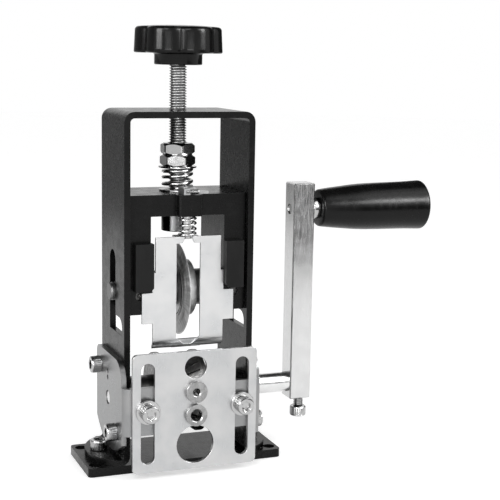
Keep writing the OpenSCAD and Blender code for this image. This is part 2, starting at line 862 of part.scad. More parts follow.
module feed_roller() color(dark_steel) translate([0, 0, shaft_z]) difference() {
    bore = shaft_d / 2 + seat_gap;
    turned_x([
        [bore, -roller_w / 2], [roller_d / 2, -roller_w / 2],
        [roller_d / 2, roller_land - roller_w / 2], [groove_root_d / 2, -groove_flat / 2],
        [groove_root_d / 2, groove_flat / 2], [roller_d / 2, roller_w / 2 - roller_land],
        [roller_d / 2, roller_w / 2], [bore, roller_w / 2]
    ]);
    for (i = [0:tooth_count - 1]) rotate([360 * i / tooth_count, 0, 0]) {
        grip_slot();
        mirror([1, 0, 0]) grip_slot();
    }
}

module roller_collars() color(dark_steel) translate([0, 0, shaft_z]) {
    for (m = [0, 1]) mirror([m, 0, 0]) difference() {
        rod_x(roller_w / 2, roller_w / 2 + collar_len, collar_d);
        rod_x(roller_w / 2 - over, roller_w / 2 + collar_len + over, shaft_d + 2 * seat_gap);
        translate([roller_w / 2 + collar_len / 2, 0, 0])
            cylinder(d = collar_screw_d + 2 * seat_gap, h = collar_d);
    }
}

module collar_screws() color(dark_steel) translate([0, 0, shaft_z]) {
    low = shaft_d / 2 + run_gap;
    high = collar_d / 2 - collar_screw_recess;
    for (s = [-1, 1]) translate([s * (roller_w + collar_len) / 2, 0, 0]) difference() {
        translate([0, 0, low]) cylinder(d = collar_screw_d, h = high - low);
        translate([0, 0, high - collar_screw_d / 2])
            cylinder(d = collar_screw_d / 2, h = collar_screw_d, $fn = 6);
    }
}

// Square with chamfered corners, about the origin
module chamfered_rect(w, h, c) {
    polygon([
        [-w / 2 + c, -h / 2], [w / 2 - c, -h / 2], [w / 2, -h / 2 + c], [w / 2, h / 2 - c],
        [w / 2 - c, h / 2], [-w / 2 + c, h / 2], [-w / 2, h / 2 - c], [-w / 2, -h / 2 + c]
    ]);
}

module crank_arm() color(bright_steel) difference() {
    arm_len = arm_below + crank_throw + arm_above;
    arm_mid_z = shaft_z - arm_below + arm_len / 2;
    intersection() {
        translate([arm_mid_x, 0, shaft_z - arm_below])
            linear_extrude(arm_len) chamfered_rect(arm_side, arm_side, arm_chamfer);
        from_side(arm_x - over, arm_side + 2 * over) translate([0, arm_mid_z])
            chamfered_rect(arm_side, arm_len, arm_chamfer);
        from_front(arm_side, 2 * arm_side) translate([arm_mid_x, arm_mid_z])
            chamfered_rect(arm_side, arm_len, arm_chamfer);
    }
    translate([0, 0, shaft_z]) rod_x(arm_x - over, arm_out + over, shaft_d + 2 * seat_gap);
    translate([0, 0, spindle_z]) rod_x(arm_x - over, arm_out + over, spindle_end_d + 2 * seat_gap);
    translate([arm_screw_x, 0, shaft_z - arm_below - over])
        cylinder(d = arm_screw_d + 2 * seat_gap, h = arm_below);
}

module arm_screw() color(bright_steel)
    translate([arm_screw_x, 0, shaft_z - arm_below - arm_screw_gap]) rotate([180, 0, 0])
        cap_bolt(arm_screw_d, bolt_head_d, bolt_head_h,
            arm_screw_gap + arm_below - shaft_d / 2 + shaft_flat - run_gap,
            bolt_socket_af, bolt_socket_depth);

module grip_spindle() color(bright_steel) translate([0, 0, spindle_z]) difference() {
    turned_x([
        [0, arm_x + spindle_recess], [spindle_end_d / 2, arm_x + spindle_recess],
        [spindle_end_d / 2, arm_out], [spindle_d / 2, arm_out],
        [spindle_d / 2, spindle_end], [0, spindle_end]
    ]);
    difference() {
        rod_x(sleeve_end + side_gap, sleeve_end + side_gap + clip_t + 2 * run_gap, spindle_d + over);
        rod_x(sleeve_end, spindle_end, spindle_d - clip_wall);
    }
}

module spindle_collar() color(bright_steel) translate([0, 0, spindle_z]) difference() {
    rod_x(arm_out, grip_x - side_gap, spindle_collar_d);
    rod_x(arm_out - over, grip_x + over, spindle_d + 2 * seat_gap);
}

module spindle_clip() color(grey_steel) translate([0, 0, spindle_z]) difference() {
    rod_x(sleeve_end + side_gap + run_gap, sleeve_end + side_gap + run_gap + clip_t, clip_d);
    rod_x(sleeve_end, grip_end, spindle_d - clip_wall + 2 * seat_gap);
    translate([sleeve_end, 0, 0]) mirror([0, 0, 1])
        translate([0, -clip_wall, 0]) cube([plug_t, 2 * clip_wall, clip_d]);
}

// Radius of the grip at a share of its length
function grip_r(s) =
    (grip_small_d + (grip_large_d - grip_small_d) * (1 - pow(1 - s, grip_power))) / 2;

module handle_grip() color(black_plastic) translate([0, 0, spindle_z]) {
    body_len = grip_len - 2 * grip_edge_r - grip_dome;
    turned_x(concat(
        [[sleeve_d / 2 + seat_gap, grip_x]],
        [for (a = [0:30:90]) [
            grip_small_d / 2 - grip_edge_r + grip_edge_r * sin(a),
            grip_x + grip_edge_r - grip_edge_r * cos(a)
        ]],
        [for (i = [1:grip_steps]) [
            grip_r(i / grip_steps), grip_x + grip_edge_r + body_len * i / grip_steps
        ]],
        [for (a = [30:30:90]) [
            grip_large_d / 2 - grip_edge_r + grip_edge_r * cos(a),
            grip_end - grip_dome - grip_edge_r + grip_edge_r * sin(a)
        ]],
        [
            [plug_d / 2 + seat_gap, grip_end], [plug_d / 2 + seat_gap, grip_end - plug_t],
            [clip_d / 2 + side_gap, grip_end - plug_t], [clip_d / 2 + side_gap, sleeve_end],
            [sleeve_d / 2 + seat_gap, sleeve_end]
        ]
    ));
}

module grip_sleeve() color(grey_steel) translate([0, 0, spindle_z]) difference() {
    rod_x(grip_x, sleeve_end, sleeve_d);
    rod_x(grip_x - over, sleeve_end + over, spindle_d + 2 * run_gap);
}

module grip_plug() color(black_plastic) translate([0, 0, spindle_z])
    rod_x(grip_end - plug_t, grip_end, plug_d);

module spring_washer() color(bright_steel) translate([0, 0, washer_z])
    washer(washer_d, screw_d + 2 * run_gap, washer_t - run_gap);

module main_spring() color(spring_steel) translate([0, 0, seat_top])
    rotate(main_start) coil_spring(spring_d, spring_wire, spring_turns, spring_h);

module adjusting_screw() color(bright_steel) difference() {
    translate([0, 0, screw_end]) cylinder(d = screw_d, h = knob_z + knob_bore - screw_end);
    translate([0, 0, (collar_bottom + collar_top) / 2])
        rod_y(-screw_d, screw_d, collar_pin_d + 2 * seat_gap);
}

module adjusting_knob() color(black_plastic) difference() {
    body_z = knob_z + hub_h;
    top_z = body_z + knob_h;
    r = knob_d / 2;
    union() {
        translate([0, 0, knob_z]) cylinder(d = hub_d, h = hub_h + over);
        intersection() {
            translate([0, 0, body_z]) linear_extrude(knob_h) {
                circle(r = lobe_r);
                for (i = [0:knob_lobes - 1]) rotate(360 * (i + 0.5) / knob_lobes + knob_turn)
                    translate([r - lobe_r, 0]) circle(r = lobe_r);
            }
            rotate_extrude() polygon(concat(
                [[0, body_z], [r, body_z]],
                [for (a = [0:22.5:90]) [
                    r - knob_taper - knob_edge_r + knob_edge_r * cos(a),
                    top_z - knob_dome - knob_edge_r + knob_edge_r * sin(a)
                ]],
                [[hub_d / 2, top_z - knob_dome / 4], [0, top_z]]
            ));
        }
    }
    translate([0, 0, knob_z - over])
        cylinder(d = screw_d + 2 * seat_gap, h = over + knob_bore + seat_gap);
}

module lock_nuts() color(bright_steel) {
    translate([0, 0, nut_z]) rotate(lower_nut_turn) hex_nut(nut_af, nut_h, screw_d + 2 * seat_gap);
    translate([0, 0, nut_z + nut_h]) rotate(upper_nut_turn)
        hex_nut(nut_af, nut_h, screw_d + 2 * seat_gap);
}

module end_collar() color(black_paint) difference() {
    translate([0, 0, collar_bottom]) cylinder(d = end_collar_d, h = end_collar_h);
    translate([0, 0, collar_bottom - over])
        cylinder(d = screw_d + 2 * seat_gap, h = end_collar_h + 2 * over);
    translate([0, 0, (collar_bottom + collar_top) / 2])
        rod_y(-end_collar_d, end_collar_d, collar_pin_d + 2 * seat_gap);
}

module collar_pin() color(grey_steel) translate([0, 0, (collar_bottom + collar_top) / 2])
    rod_y(side_gap - end_collar_d / 2, end_collar_d / 2 - side_gap, collar_pin_d);

module blade_carrier() color(black_paint) difference() {
    union() {
        translate([-fork_out, fork_front, arm_bottom])
            cube([2 * fork_out, carrier_d, carrier_top - arm_bottom]);
        translate([0, 0, bar_bottom]) linear_extrude(bar_t) {
            translate([-boss_w / 2, boss_front + boss_edge_r])
                square([boss_w, boss_reach + boss_edge_r]);
            translate([-boss_w / 2 + boss_edge_r, boss_front])
                square([boss_w - 2 * boss_edge_r, boss_reach]);
            for (s = [-1, 1]) translate([s * (boss_w / 2 - boss_edge_r), boss_front + boss_edge_r])
                circle(r = boss_edge_r);
        }
    }
    translate([-fork_in, fork_front - over, arm_bottom - over])
        cube([2 * fork_in, carrier_d + 2 * over, bar_bottom - arm_bottom + over]);
    translate([0, 0, bar_bottom - over]) cylinder(d = screw_d + 2 * run_gap, h = bar_t + 2 * over);
    translate([0, pin_y, bar_bottom - over])
        cylinder(d = guide_pin_d + 2 * run_gap, h = bar_t + 2 * over);
    translate([0, 0, axle_z]) rod_x(-fork_out - over, fork_out + over, axle_d + 2 * seat_gap);
    for (s = [-1, 1]) {
        translate([s * fork_mid, 0, axle_z]) rod_y(fork_front - over, 0, set_screw_d + 2 * seat_gap);
        translate([s * fork_mid, 0, block_screw_z])
            rod_y(fork_front - over, carrier_d / 2 + over, block_screw_d + 2 * seat_gap);
    }
}

module guide_blocks() color(black_plastic) {
    for (m = [0, 1]) mirror([m, 0, 0]) difference() {
        from_front(fork_front, block_t) polygon([
            [block_in + block_chamfer, block_z], [block_in + block_w, block_z],
            [block_in + block_w, block_z + block_h], [block_in, block_z + block_h],
            [block_in, block_z + block_chamfer]
        ]);
        translate([fork_mid, 0, block_screw_z])
            rod_y(fork_front - block_t / 2 - seat_gap, fork_front + over, block_screw_d + 2 * seat_gap);
    }
}

module block_screws() color(dark_steel) {
    for (s = [-1, 1]) translate([s * fork_mid, carrier_d / 2, block_screw_z]) rotate([-90, 0, 0])
        cap_bolt(block_screw_d, block_screw_head_d, block_screw_head_h,
            carrier_d + block_t / 2 - run_gap, block_screw_d * socket_share, block_screw_head_h / 2);
}

module spring_seat() color(grey_steel) translate([0, 0, carrier_top])
    washer(seat_d, screw_d + 2 * run_gap, seat_t);

module blade_axle() color(grey_steel) translate([0, 0, axle_z]) difference() {
    rod_x(-axle_end, axle_end, axle_d);
    for (m = [0, 1], share = groove_step_shares) mirror([m, 0, 0]) difference() {
        groove_x = axle_end - share * axle_proud;
        rod_x(groove_x - groove_w, groove_x, axle_d + over);
        rod_x(0, axle_end, axle_d - 2 * groove_depth);
    }
}

module axle_set_screws() color(dark_steel) {
    for (s = [-1, 1]) translate([s * fork_mid, 0, axle_z]) difference() {
        rod_y(fork_front + set_screw_depth, -axle_d / 2 - run_gap, set_screw_d);
        rotate([90, 0, 0]) translate([0, 0, -fork_front - 2 * set_screw_depth])
            cylinder(d = set_screw_d / 2, h = set_screw_depth + over, $fn = 6);
    }
}

module axle_spacers() color(grey_steel) translate([0, 0, axle_z]) difference() {
    union() {
        rod_x(-fork_in, blade_left_x - side_gap, spacer_d);
        rod_x(ring_x + side_gap, fork_in, spacer_d);
    }
    rod_x(-fork_in - over, fork_in + over, axle_d + 2 * seat_gap);
}

// Places the ring's screws round the blade axle, heads to the right
module at_ring_screws() {
    for (i = [0:ring_screw_count - 1]) rotate([360 * i / ring_screw_count, 0, 0])
        translate([ring_x, 0, ring_screw_r]) rotate([0, 90, 0]) children();
}

module cutting_blade() color(dark_steel) translate([0, 0, axle_z]) difference() {
    turned_x([
        [axle_d / 2 + run_gap, blade_left_x], [bevel_d / 2, blade_left_x],
        [blade_d / 2, blade_x], [bevel_d / 2, blade_right_x], [axle_d / 2 + run_gap, blade_right_x]
    ]);
    at_ring_screws() translate([0, 0, -hub_ring_t - blade_right])
        cylinder(d = ring_screw_d + 2 * seat_gap, h = blade_right + over);
}

module blade_ring() color(dark_steel) translate([0, 0, axle_z]) difference() {
    rod_x(blade_right_x, ring_x, hub_ring_d);
    rod_x(blade_right_x - over, ring_x + over, axle_d + 2 * run_gap);
    at_ring_screws() {
        translate([0, 0, -hub_ring_t - over])
            cylinder(d = ring_screw_d + 2 * seat_gap, h = hub_ring_t + 2 * over);
        translate([0, 0, -ring_screw_head_h - seat_gap])
            cylinder(d = ring_screw_head_d + 2 * seat_gap, h = ring_screw_head_h + over);
    }
}

module ring_screws() color(dark_steel) translate([0, 0, axle_z]) at_ring_screws()
    translate([0, 0, -ring_screw_head_h])
        cap_bolt(ring_screw_d, ring_screw_head_d, ring_screw_head_h,
            hub_ring_t - ring_screw_head_h + blade_right - run_gap,
            ring_screw_d * socket_share, ring_screw_head_h / 2);

// Sheet's side view: straight down, a bend to the back, and a tongue that curls up
module presser_side(back) {
    t = presser_t;
    r = bend_r;
    bend_z = tongue_z + r;
    translate([presser_front_y, bend_z]) square([t, presser_top - bend_z]);
    translate([presser_front_y + r, bend_z]) intersection() {
        difference() {
            circle(r = r);
            circle(r = r - t);
        }
        translate([-r, -r]) square([min(back, r), r]);
    }
    if (back > r) {
        translate([presser_front_y + r, tongue_z]) square([back - r - curl_rise, t]);
        translate([presser_front_y + back - curl_rise, tongue_z + curl_rise]) intersection() {
            difference() {
                circle(r = curl_rise);
                circle(r = curl_rise - t);
            }
            translate([0, -curl_rise]) square([curl_rise, curl_rise]);
        }
    }
}

// Front view of the presser's wide part with its shoulders
module presser_front() {
    top_h = presser_top - shoulder_top;
    shoulder_bottom = shoulder_top - shoulder_h;
    translate([-presser_top_w / 2, shoulder_top]) square([presser_top_w, top_h]);
    translate([-presser_guided_w / 2, shoulder_top]) square([presser_guided_w, guided_h]);
    translate([-presser_wide_w / 2, shoulder_bottom]) square([presser_wide_w, shoulder_h]);
    translate([-presser_low_w / 2, 0]) square([presser_low_w, shoulder_bottom + over]);
}

// Slot for the blade, with its narrow neck at the top
module presser_slot() {
    top = presser_top;
    half = presser_slot_w / 2;
    side = [
        [slot_end_w / 2, slot_end_z], [half, slot_end_z + slot_chamfer_h], [half, top - neck_hs[2]],
        [neck_ws[1] / 2, top - neck_hs[1]], [neck_ws[0] / 2, top - neck_hs[0]],
        [neck_w / 2, top + over]
    ];
    polygon(concat(side, [for (i = [len(side) - 1:-1:0]) [-side[i][0], side[i][1]]]));
}

module presser_plate() color(steel) difference() {
    union() {
        intersection() {
            from_side(-presser_wide_w / 2, presser_wide_w) presser_side(bend_r * side_bend_share);
            from_front(0, carrier_d) presser_front();
        }
        from_side(-tongue_w / 2, tongue_w) presser_side(tongue_back);
        translate([-boss_w / 2, presser_front_y, presser_top - presser_t])
            cube([boss_w, presser_t + lug_back, presser_t]);
    }
    translate([0, presser_back_y, 0]) from_front(0, carrier_d) presser_slot();
    translate([0, pin_y, presser_top - presser_t - over])
        cylinder(d = pin_foot_d + 2 * seat_gap, h = presser_t + 2 * over);
}

module stop_plate() color(steel)
    translate([-stop_left, pin_y + stop_front - stop_t / 2, bar_bottom - stop_h])
        cube([stop_left + stop_right, stop_t, stop_h]);

module guide_pin() color(grey_steel) translate([0, pin_y, 0]) {
    translate([0, 0, presser_top - presser_t]) cylinder(d = pin_foot_d, h = presser_t);
    translate([0, 0, presser_top]) cylinder(d = guide_pin_d, h = carrier_top - presser_top + run_gap);
    translate([0, 0, carrier_top]) cylinder(d = pin_stud_d, h = keeper_h + run_gap);
}

// Keeper on the pin's upper end: a stepped block with an arm that lies on the bar
module pin_keeper() color(steel) translate([0, pin_y, carrier_top + run_gap]) difference() {
    union() {
        translate([-keeper_half_w, -keeper_front, 0])
            cube([keeper_half_w - keeper_step_x, keeper_front + keeper_back, keeper_h]);
        translate([-keeper_half_w, keeper_step_y - keeper_front, 0])
            cube([2 * keeper_half_w, keeper_front + keeper_back - keeper_step_y, keeper_h]);
        translate([0, -keeper_arm_front, 0])
            cube([keeper_arm_reach, keeper_arm_front + keeper_back, keeper_arm_t]);
    }
    translate([0, 0, -over]) cylinder(d = pin_stud_d + 2 * seat_gap, h = keeper_h + 2 * over);
    at_keeper_screw() cylinder(d = keeper_screw_d + 2 * seat_gap, h = keeper_screw_len);
}

// Places the keeper's screw along X in the keeper's frame
module at_keeper_screw() {
    translate([-keeper_half_w + keeper_screw_d / 2, -keeper_screw_y, keeper_screw_rise])
        rotate([0, 90, 0]) children();
}

module keeper_screw() color(bright_steel) translate([0, pin_y, carrier_top + run_gap])
    at_keeper_screw() translate([0, 0, run_gap]) cylinder(d = keeper_screw_d, h = keeper_screw_len);

module presser_spring() color(spring_steel) translate([0, pin_y, presser_top])
    rotate(presser_start)
        coil_spring(presser_spring_d, presser_wire, presser_turns, presser_spring_h);

base_plate();
arch_frame();
left_bracket();
right_bracket();
bracket_bolts();
foot_bolts();
clamp_bolts();
clamp_washers();
shaft_bushes();
front_plate();
small_bush();
large_bush();
crank_shaft();
feed_roller();
roller_collars();
collar_screws();
crank_arm();
arm_screw();
grip_spindle();
spindle_collar();
spindle_clip();
handle_grip();
grip_sleeve();
grip_plug();
spring_washer();
main_spring();
adjusting_screw();
adjusting_knob();
lock_nuts();
end_collar();
collar_pin();
blade_carrier();
guide_blocks();
block_screws();
spring_seat();
blade_axle();
axle_set_screws();
axle_spacers();
cutting_blade();
blade_ring();
ring_screws();
presser_plate();
stop_plate();
guide_pin();
pin_keeper();
keeper_screw();
presser_spring();
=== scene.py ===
import json
import math
from collections import namedtuple

import bmesh
import bpy
from mathutils import Matrix, Vector


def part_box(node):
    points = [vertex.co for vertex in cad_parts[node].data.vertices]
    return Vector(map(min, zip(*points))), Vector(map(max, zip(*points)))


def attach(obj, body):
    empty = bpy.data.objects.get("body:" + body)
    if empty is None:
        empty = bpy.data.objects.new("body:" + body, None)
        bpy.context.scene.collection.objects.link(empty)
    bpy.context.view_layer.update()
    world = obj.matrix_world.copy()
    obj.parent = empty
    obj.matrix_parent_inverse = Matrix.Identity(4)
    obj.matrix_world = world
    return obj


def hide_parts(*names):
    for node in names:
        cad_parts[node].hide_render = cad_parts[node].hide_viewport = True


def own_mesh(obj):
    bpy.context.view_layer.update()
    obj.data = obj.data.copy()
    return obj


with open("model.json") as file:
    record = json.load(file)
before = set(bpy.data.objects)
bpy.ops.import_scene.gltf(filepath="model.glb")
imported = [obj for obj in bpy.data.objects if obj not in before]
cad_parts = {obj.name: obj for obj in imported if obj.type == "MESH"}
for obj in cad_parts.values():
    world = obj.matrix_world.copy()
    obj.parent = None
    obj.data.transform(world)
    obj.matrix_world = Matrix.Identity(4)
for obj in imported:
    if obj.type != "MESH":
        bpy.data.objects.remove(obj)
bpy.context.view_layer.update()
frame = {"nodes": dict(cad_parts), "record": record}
record = frame["record"]
body_of = {node: body for body, nodes in record["behaviour"]["bodies"].items() for node in nodes}

# One millimetre in metres, and a full turn in radians
MM = 0.001
TURN = 2 * math.pi


# Places from the frame, in millimetres, rounded to a tenth of a micron

Place = namedtuple("Place", "x y z")


def rounded(numbers):
    return Place(*(round(number, 4) for number in numbers))


def lowest(node):
    """Lowest corner of a frame node."""
    return rounded(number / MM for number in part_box(node)[0])


def highest(node):
    """Highest corner of a frame node."""
    return rounded(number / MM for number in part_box(node)[1])


def middle(node):
    """Middle of a frame node's box."""
    return rounded((low + high) / 2 for low, high in zip(lowest(node), highest(node)))


# Heights of the three axes along X
SHAFT_Z = middle("roller_collars").z
AXLE_Z = middle("blade_axle").z
SPINDLE_Z = middle("grip_spindle").z

# Faces along X: the leg's outer and inner face, and the bracket's outer face
ARCH_T = 3.6
LEG_OUT = highest("shaft_bushes").x
LEG_IN = LEG_OUT - ARCH_T
BRACKET_OUT = highest("right_bracket").x

# The blade: radius of its edge, and radius where its cones start
BLADE_R = highest("cutting_blade").y
BEVEL_R = 16.5

# The adjusting screw: radius, pitch, and radius of the plain bores round it
SCREW_R = highest("adjusting_screw").x
SCREW_PITCH = 1.5
SCREW_BORE = 5.1


# Node trees written as expressions

class Value:
    """A socket that can stand in an expression."""

    def __init__(self, nodes, socket):
        self.nodes = nodes
        self.socket = socket

    def maths(self, operation, a, b):
        return self.nodes.node("Math", {"operation": operation}, {0: a, 1: b})

    def __add__(self, other):
        return self.maths("ADD", self, other)

    def __sub__(self, other):
        return self.maths("SUBTRACT", self, other)

    def __rsub__(self, other):
        return self.maths("SUBTRACT", other, self)

    def __mul__(self, other):
        return self.maths("MULTIPLY", self, other)

    def __pow__(self, other):
        return self.maths("POWER", self, other)

    __radd__ = __add__
    __rmul__ = __mul__


class Nodes:
    """A node tree that gets its nodes from expressions."""

    def __init__(self, tree):
        self.tree = tree

    def node(self, kind, settings=None, sockets=None, output=0):
        made = self.tree.nodes.new("ShaderNode" + kind)
        for key, value in (settings or {}).items():
            setattr(made, key, value)
        for key, value in (sockets or {}).items():
            self.join(made.inputs[key], value)
        return Value(self, made.outputs[output])

    def join(self, socket, value):
        """Links a value to a socket, or sets the socket to a plain number or colour."""
        if isinstance(value, Value):
            self.tree.links.new(value.socket, socket)
        else:
            socket.default_value = value

    def seen(self):
        """At least 1 on camera, glossy and transmission rays, 0 on those that light the object."""
        rays = ("Is Camera Ray", "Is Glossy Ray", "Is Transmission Ray")
        first, second, third = (self.node("LightPath", output=ray) for ray in rays)
        return first + second + third


class Finish(Nodes):
    """One material. Arguments with names are plain values on the shader's own sockets."""

    def __init__(self, name, **plain):
        self.material = bpy.data.materials.new(name)
        self.material.use_nodes = True
        super().__init__(self.material.node_tree)
        self.shader = self.tree.nodes["Principled BSDF"]
        self.set(**plain)
        self.spot = self.node("TexCoord", output="Object")

    def set(self, **sockets):
        """Joins values to the shader's sockets, named with an underscore for a space."""
        for socket, value in sockets.items():
            self.join(self.shader.inputs[socket.replace("_", " ")], value)
        return self

    def along(self, axis):
        """Place along X, Y or Z, in millimetres."""
        return self.node("SeparateXYZ", {}, {0: self.spot}, axis) * (1 / MM)

    def radius(self, axis, height):
        """Distance in millimetres from an axis along X at the given height, or from Z."""
        if axis == "X":
            return ((self.along("Y") ** 2) + (self.along("Z") - height) ** 2) ** 0.5
        return ((self.along("X") ** 2) + (self.along("Y") ** 2)) ** 0.5

    def grain(self, size, detail=2.0, stretch=(1, 1, 1)):
        """Noise with grains of about size millimetres; a stretch below 1 draws them out."""
        place = self.node("Mapping", {}, {"Vector": self.spot, "Scale": stretch})
        return self.node("TexNoise", {}, {"Vector": place, "Scale": 1 / (size * MM), "Detail": detail})

    def wave(self, value):
        """Sine of a value in radians."""
        return self.node("Math", {"operation": "SINE"}, {0: value})

    def between(self, value, low, high, out_low=0.0, out_high=1.0):
        """Eases from out_low to out_high as the value goes from low to high."""
        return self.node("MapRange", {"interpolation_type": "SMOOTHSTEP"}, {
            0: value, 1: low, 2: high, 3: out_low, 4: out_high,
        })

    def mix(self, share, a, b):
        """Colour a, turning to colour b as the share goes from 0 to 1."""
        factor, first, second, colour = 0, 6, 7, 2
        return self.node("Mix", {"data_type": "RGBA"}, {factor: share, first: a, second: b}, colour)

    def edges(self, width):
        """1 along the edges of the piece, 0 on its faces, over so many millimetres."""
        smooth = self.node("Bevel", {"samples": 4}, {"Radius": width * MM})
        flat = self.node("NewGeometry", output="Normal")
        agree = self.node("VectorMath", {"operation": "DOT_PRODUCT"}, {0: smooth, 1: flat}, "Value")
        return self.between(1 - agree, 0.01, 0.25)

    def bump(self, height, depth):
        """Stands the surface depth millimetres proud where height is 1."""
        return self.set(Normal=self.node("Bump", {}, {
            "Height": height, "Distance": depth * MM, "Strength": 1.0,
        }))


def grey(level, warm=0.0):
    """Grey of a level, with red raised and blue lowered by the share warm."""
    return (level * (1 + warm), level, level * (1 - warm), 1)


# Finishes

def powder_coat():
    """Satin black powder coat: a fine orange peel, a little dust, and paler edges that are partly worn
    and partly a painted highlight.
    """
    f = Finish("satin black powder coat", Specular_IOR_Level=0.15)
    peel = f.grain(0.55)
    dust = f.between(f.grain(9, 4), 0.45, 0.75)
    # Paler edges: partly worn paint, partly a painted highlight on the rounded edges
    edge_wear_and_highlight = f.edges(0.35) * f.between(f.grain(1.6, 3), 0.42, 0.62, 0.25, 1)
    coat = f.mix(dust, grey(0.004), grey(0.006))
    f.set(Base_Color=f.mix(edge_wear_and_highlight, coat, grey(0.035)))
    f.set(Roughness=f.between(f.grain(5, 3), 0.3, 0.7, 0.22, 0.3))
    return f.bump(peel, 0.006)


def moulded_black(name, rough):
    """Black plastic: nearly smooth, with faint flow marks and handling polish."""
    f = Finish(name, Specular_IOR_Level=0.17)
    flow = f.grain(4, 3, (1, 1, 0.35))
    handled = f.between(f.grain(12), 0.5, 0.7)
    scuffs = f.between(f.grain(0.7, 3, (1, 3, 1)), 0.66, 0.78) * handled
    f.set(Base_Color=f.mix(scuffs, grey(0.004), grey(0.016)))
    f.set(Roughness=f.between(flow, 0.3, 0.7, rough - 0.05, rough + 0.05))
    return f.bump(f.grain(0.35), 0.006)


def zinc_sheet(name, rolling, level):
    """Satin zinc-plated sheet: fine rolling lines, cloudy passivation, and edges darkened as a painted
    dark reflection.
    """
    f = Finish(name, Metallic=1.0)
    lines = f.grain(0.22, 3, rolling)
    cloud = f.between(f.grain(14, 4), 0.3, 0.7)
    zinc = f.mix(cloud, grey(level * 0.93, -0.012), grey(level * 1.03))
    # Darker edges are a painted dark reflection of the surroundings, not the sheet's own colour
    f.set(Base_Color=f.mix(f.edges(0.25) * 0.85, zinc, grey(0.05)))
    f.set(Roughness=f.between(lines, 0.3, 0.7, 0.26, 0.36) + cloud * 0.04)
    return f.bump(lines, 0.0025)


def bright_plate(name, level, rough, drawing=(1, 1, 1)):
    """Bright plated steel with light handling marks, and edges darkened as a painted dark reflection.
    """
    f = Finish(name, Metallic=1.0)
    marks = f.grain(0.3, 3, drawing)
    smears = f.between(f.grain(7, 4), 0.35, 0.65)
    plate = f.mix(smears, grey(level * 0.94), grey(level))
    # Darker edges are a painted dark reflection, not the plating's own colour
    f.set(Base_Color=f.mix(f.edges(0.2) * 0.7, plate, grey(0.08)))
    f.set(Roughness=f.between(marks, 0.3, 0.7, rough - 0.04, rough + 0.05) + smears * 0.03)
    return f.bump(marks, 0.0016)


def rolled_thread():
    """Plated screw thread: bright worn crests, and roots painted dark as the shade between the turns.
    """
    f = Finish("bright rolled thread", Metallic=1.0)
    crest = f.between(f.radius("Z", 0), SCREW_R - 0.5, SCREW_R - 0.03)
    marks = f.between(f.grain(0.5, 3), 0.3, 0.7)
    # Roots painted dark as shade between the turns, crests in the plating's colour
    f.set(Base_Color=f.mix(crest, grey(0.1), f.mix(marks, grey(0.5), grey(0.62))))
    f.set(Roughness=f.between(crest, 0, 1, 0.5, 0.36))
    return f.bump(marks, 0.002)


def turned_grey(name, axis, height, level, rough=0.24):
    """Turned steel, with the fine rings that the tool leaves round the axis."""
    f = Finish(name, Metallic=1.0)
    rings = f.wave((f.radius(axis, height) + f.along(axis)) * 14)
    wear = f.between(f.grain(3, 4), 0.35, 0.7)
    f.set(Base_Color=f.mix(wear, grey(level * 0.85), grey(level * 1.08)))
    f.set(Roughness=f.between(wear, 0, 1, rough, rough + 0.1))
    return f.bump(rings * 0.5 + 0.5, 0.0005)


def hard_dark(name, level, rough):
    """Blackened tool steel with an oily mottle and paler edges."""
    f = Finish(name, Metallic=1.0)
    mottle = f.between(f.grain(2.2, 5), 0.35, 0.7)
    steel = f.mix(mottle, grey(level * 0.75), grey(level * 1.25, 0.02))
    f.set(Base_Color=f.mix(f.edges(0.2) * 0.6, steel, grey(0.42)))
    f.set(Roughness=f.between(mottle, 0, 1, rough + 0.06, rough - 0.04))
    return f.bump(f.grain(0.4), 0.004)


def ground_blade():
    """The blade: radial grinding streaks on its cones, a honed edge, a painted shadow line at the
    groove, a turned middle.
    """
    f = Finish("ground blade steel", Metallic=1.0)
    out = f.radius("X", AXLE_Z)
    rise = f.along("Z") - AXLE_Z
    angle = f.node("Math", {"operation": "ARCTAN2"}, {0: rise, 1: f.along("Y")})
    spoke = f.node("CombineXYZ", {}, {0: angle * 9, 1: out * 0.06})
    streak = f.node("TexNoise", {}, {"Vector": spoke, "Scale": 1.6, "Detail": 4.0})
    cone = f.between(out, BEVEL_R - 0.2, BEVEL_R + 0.2)
    honed = f.between(out, BLADE_R - 1.1, BLADE_R - 0.5)
    past_groove = f.between(out, BEVEL_R - 0.5, BEVEL_R - 0.2)
    groove = f.between(out, BEVEL_R - 1.3, BEVEL_R - 1.0) * (1 - past_groove)
    ground = f.mix(f.between(streak, 0.3, 0.7), grey(0.3), grey(0.5))
    turned = f.mix(f.between(f.grain(3, 4), 0.3, 0.7), grey(0.5), grey(0.62))
    steel = f.mix(honed, f.mix(cone, turned, ground), grey(0.6))
    # The groove mask paints a black shadow line at the groove's inner edge
    f.set(Base_Color=f.mix(groove, steel, grey(0.01)))
    f.set(Roughness=f.between(streak, 0.25, 0.75, 0.46, 0.56))
    rings = f.wave(out * 16) * 0.25 + 0.25
    return f.bump(streak * cone + rings * (1 - cone), 0.006)


# Height of the axis that the tool rings on the shaft's and the guide's bushes run round
BUSH_RINGS_Z = 42.0

black_coat = powder_coat()
knob_plastic = moulded_black("moulded black knob", 0.2)
grip_plastic = moulded_black("moulded black grip", 0.24)
block_plastic = moulded_black("machined black guide plastic", 0.42)
plate_zinc = zinc_sheet("zinc-plated guide plate", (1, 1, 0.04), 0.475)
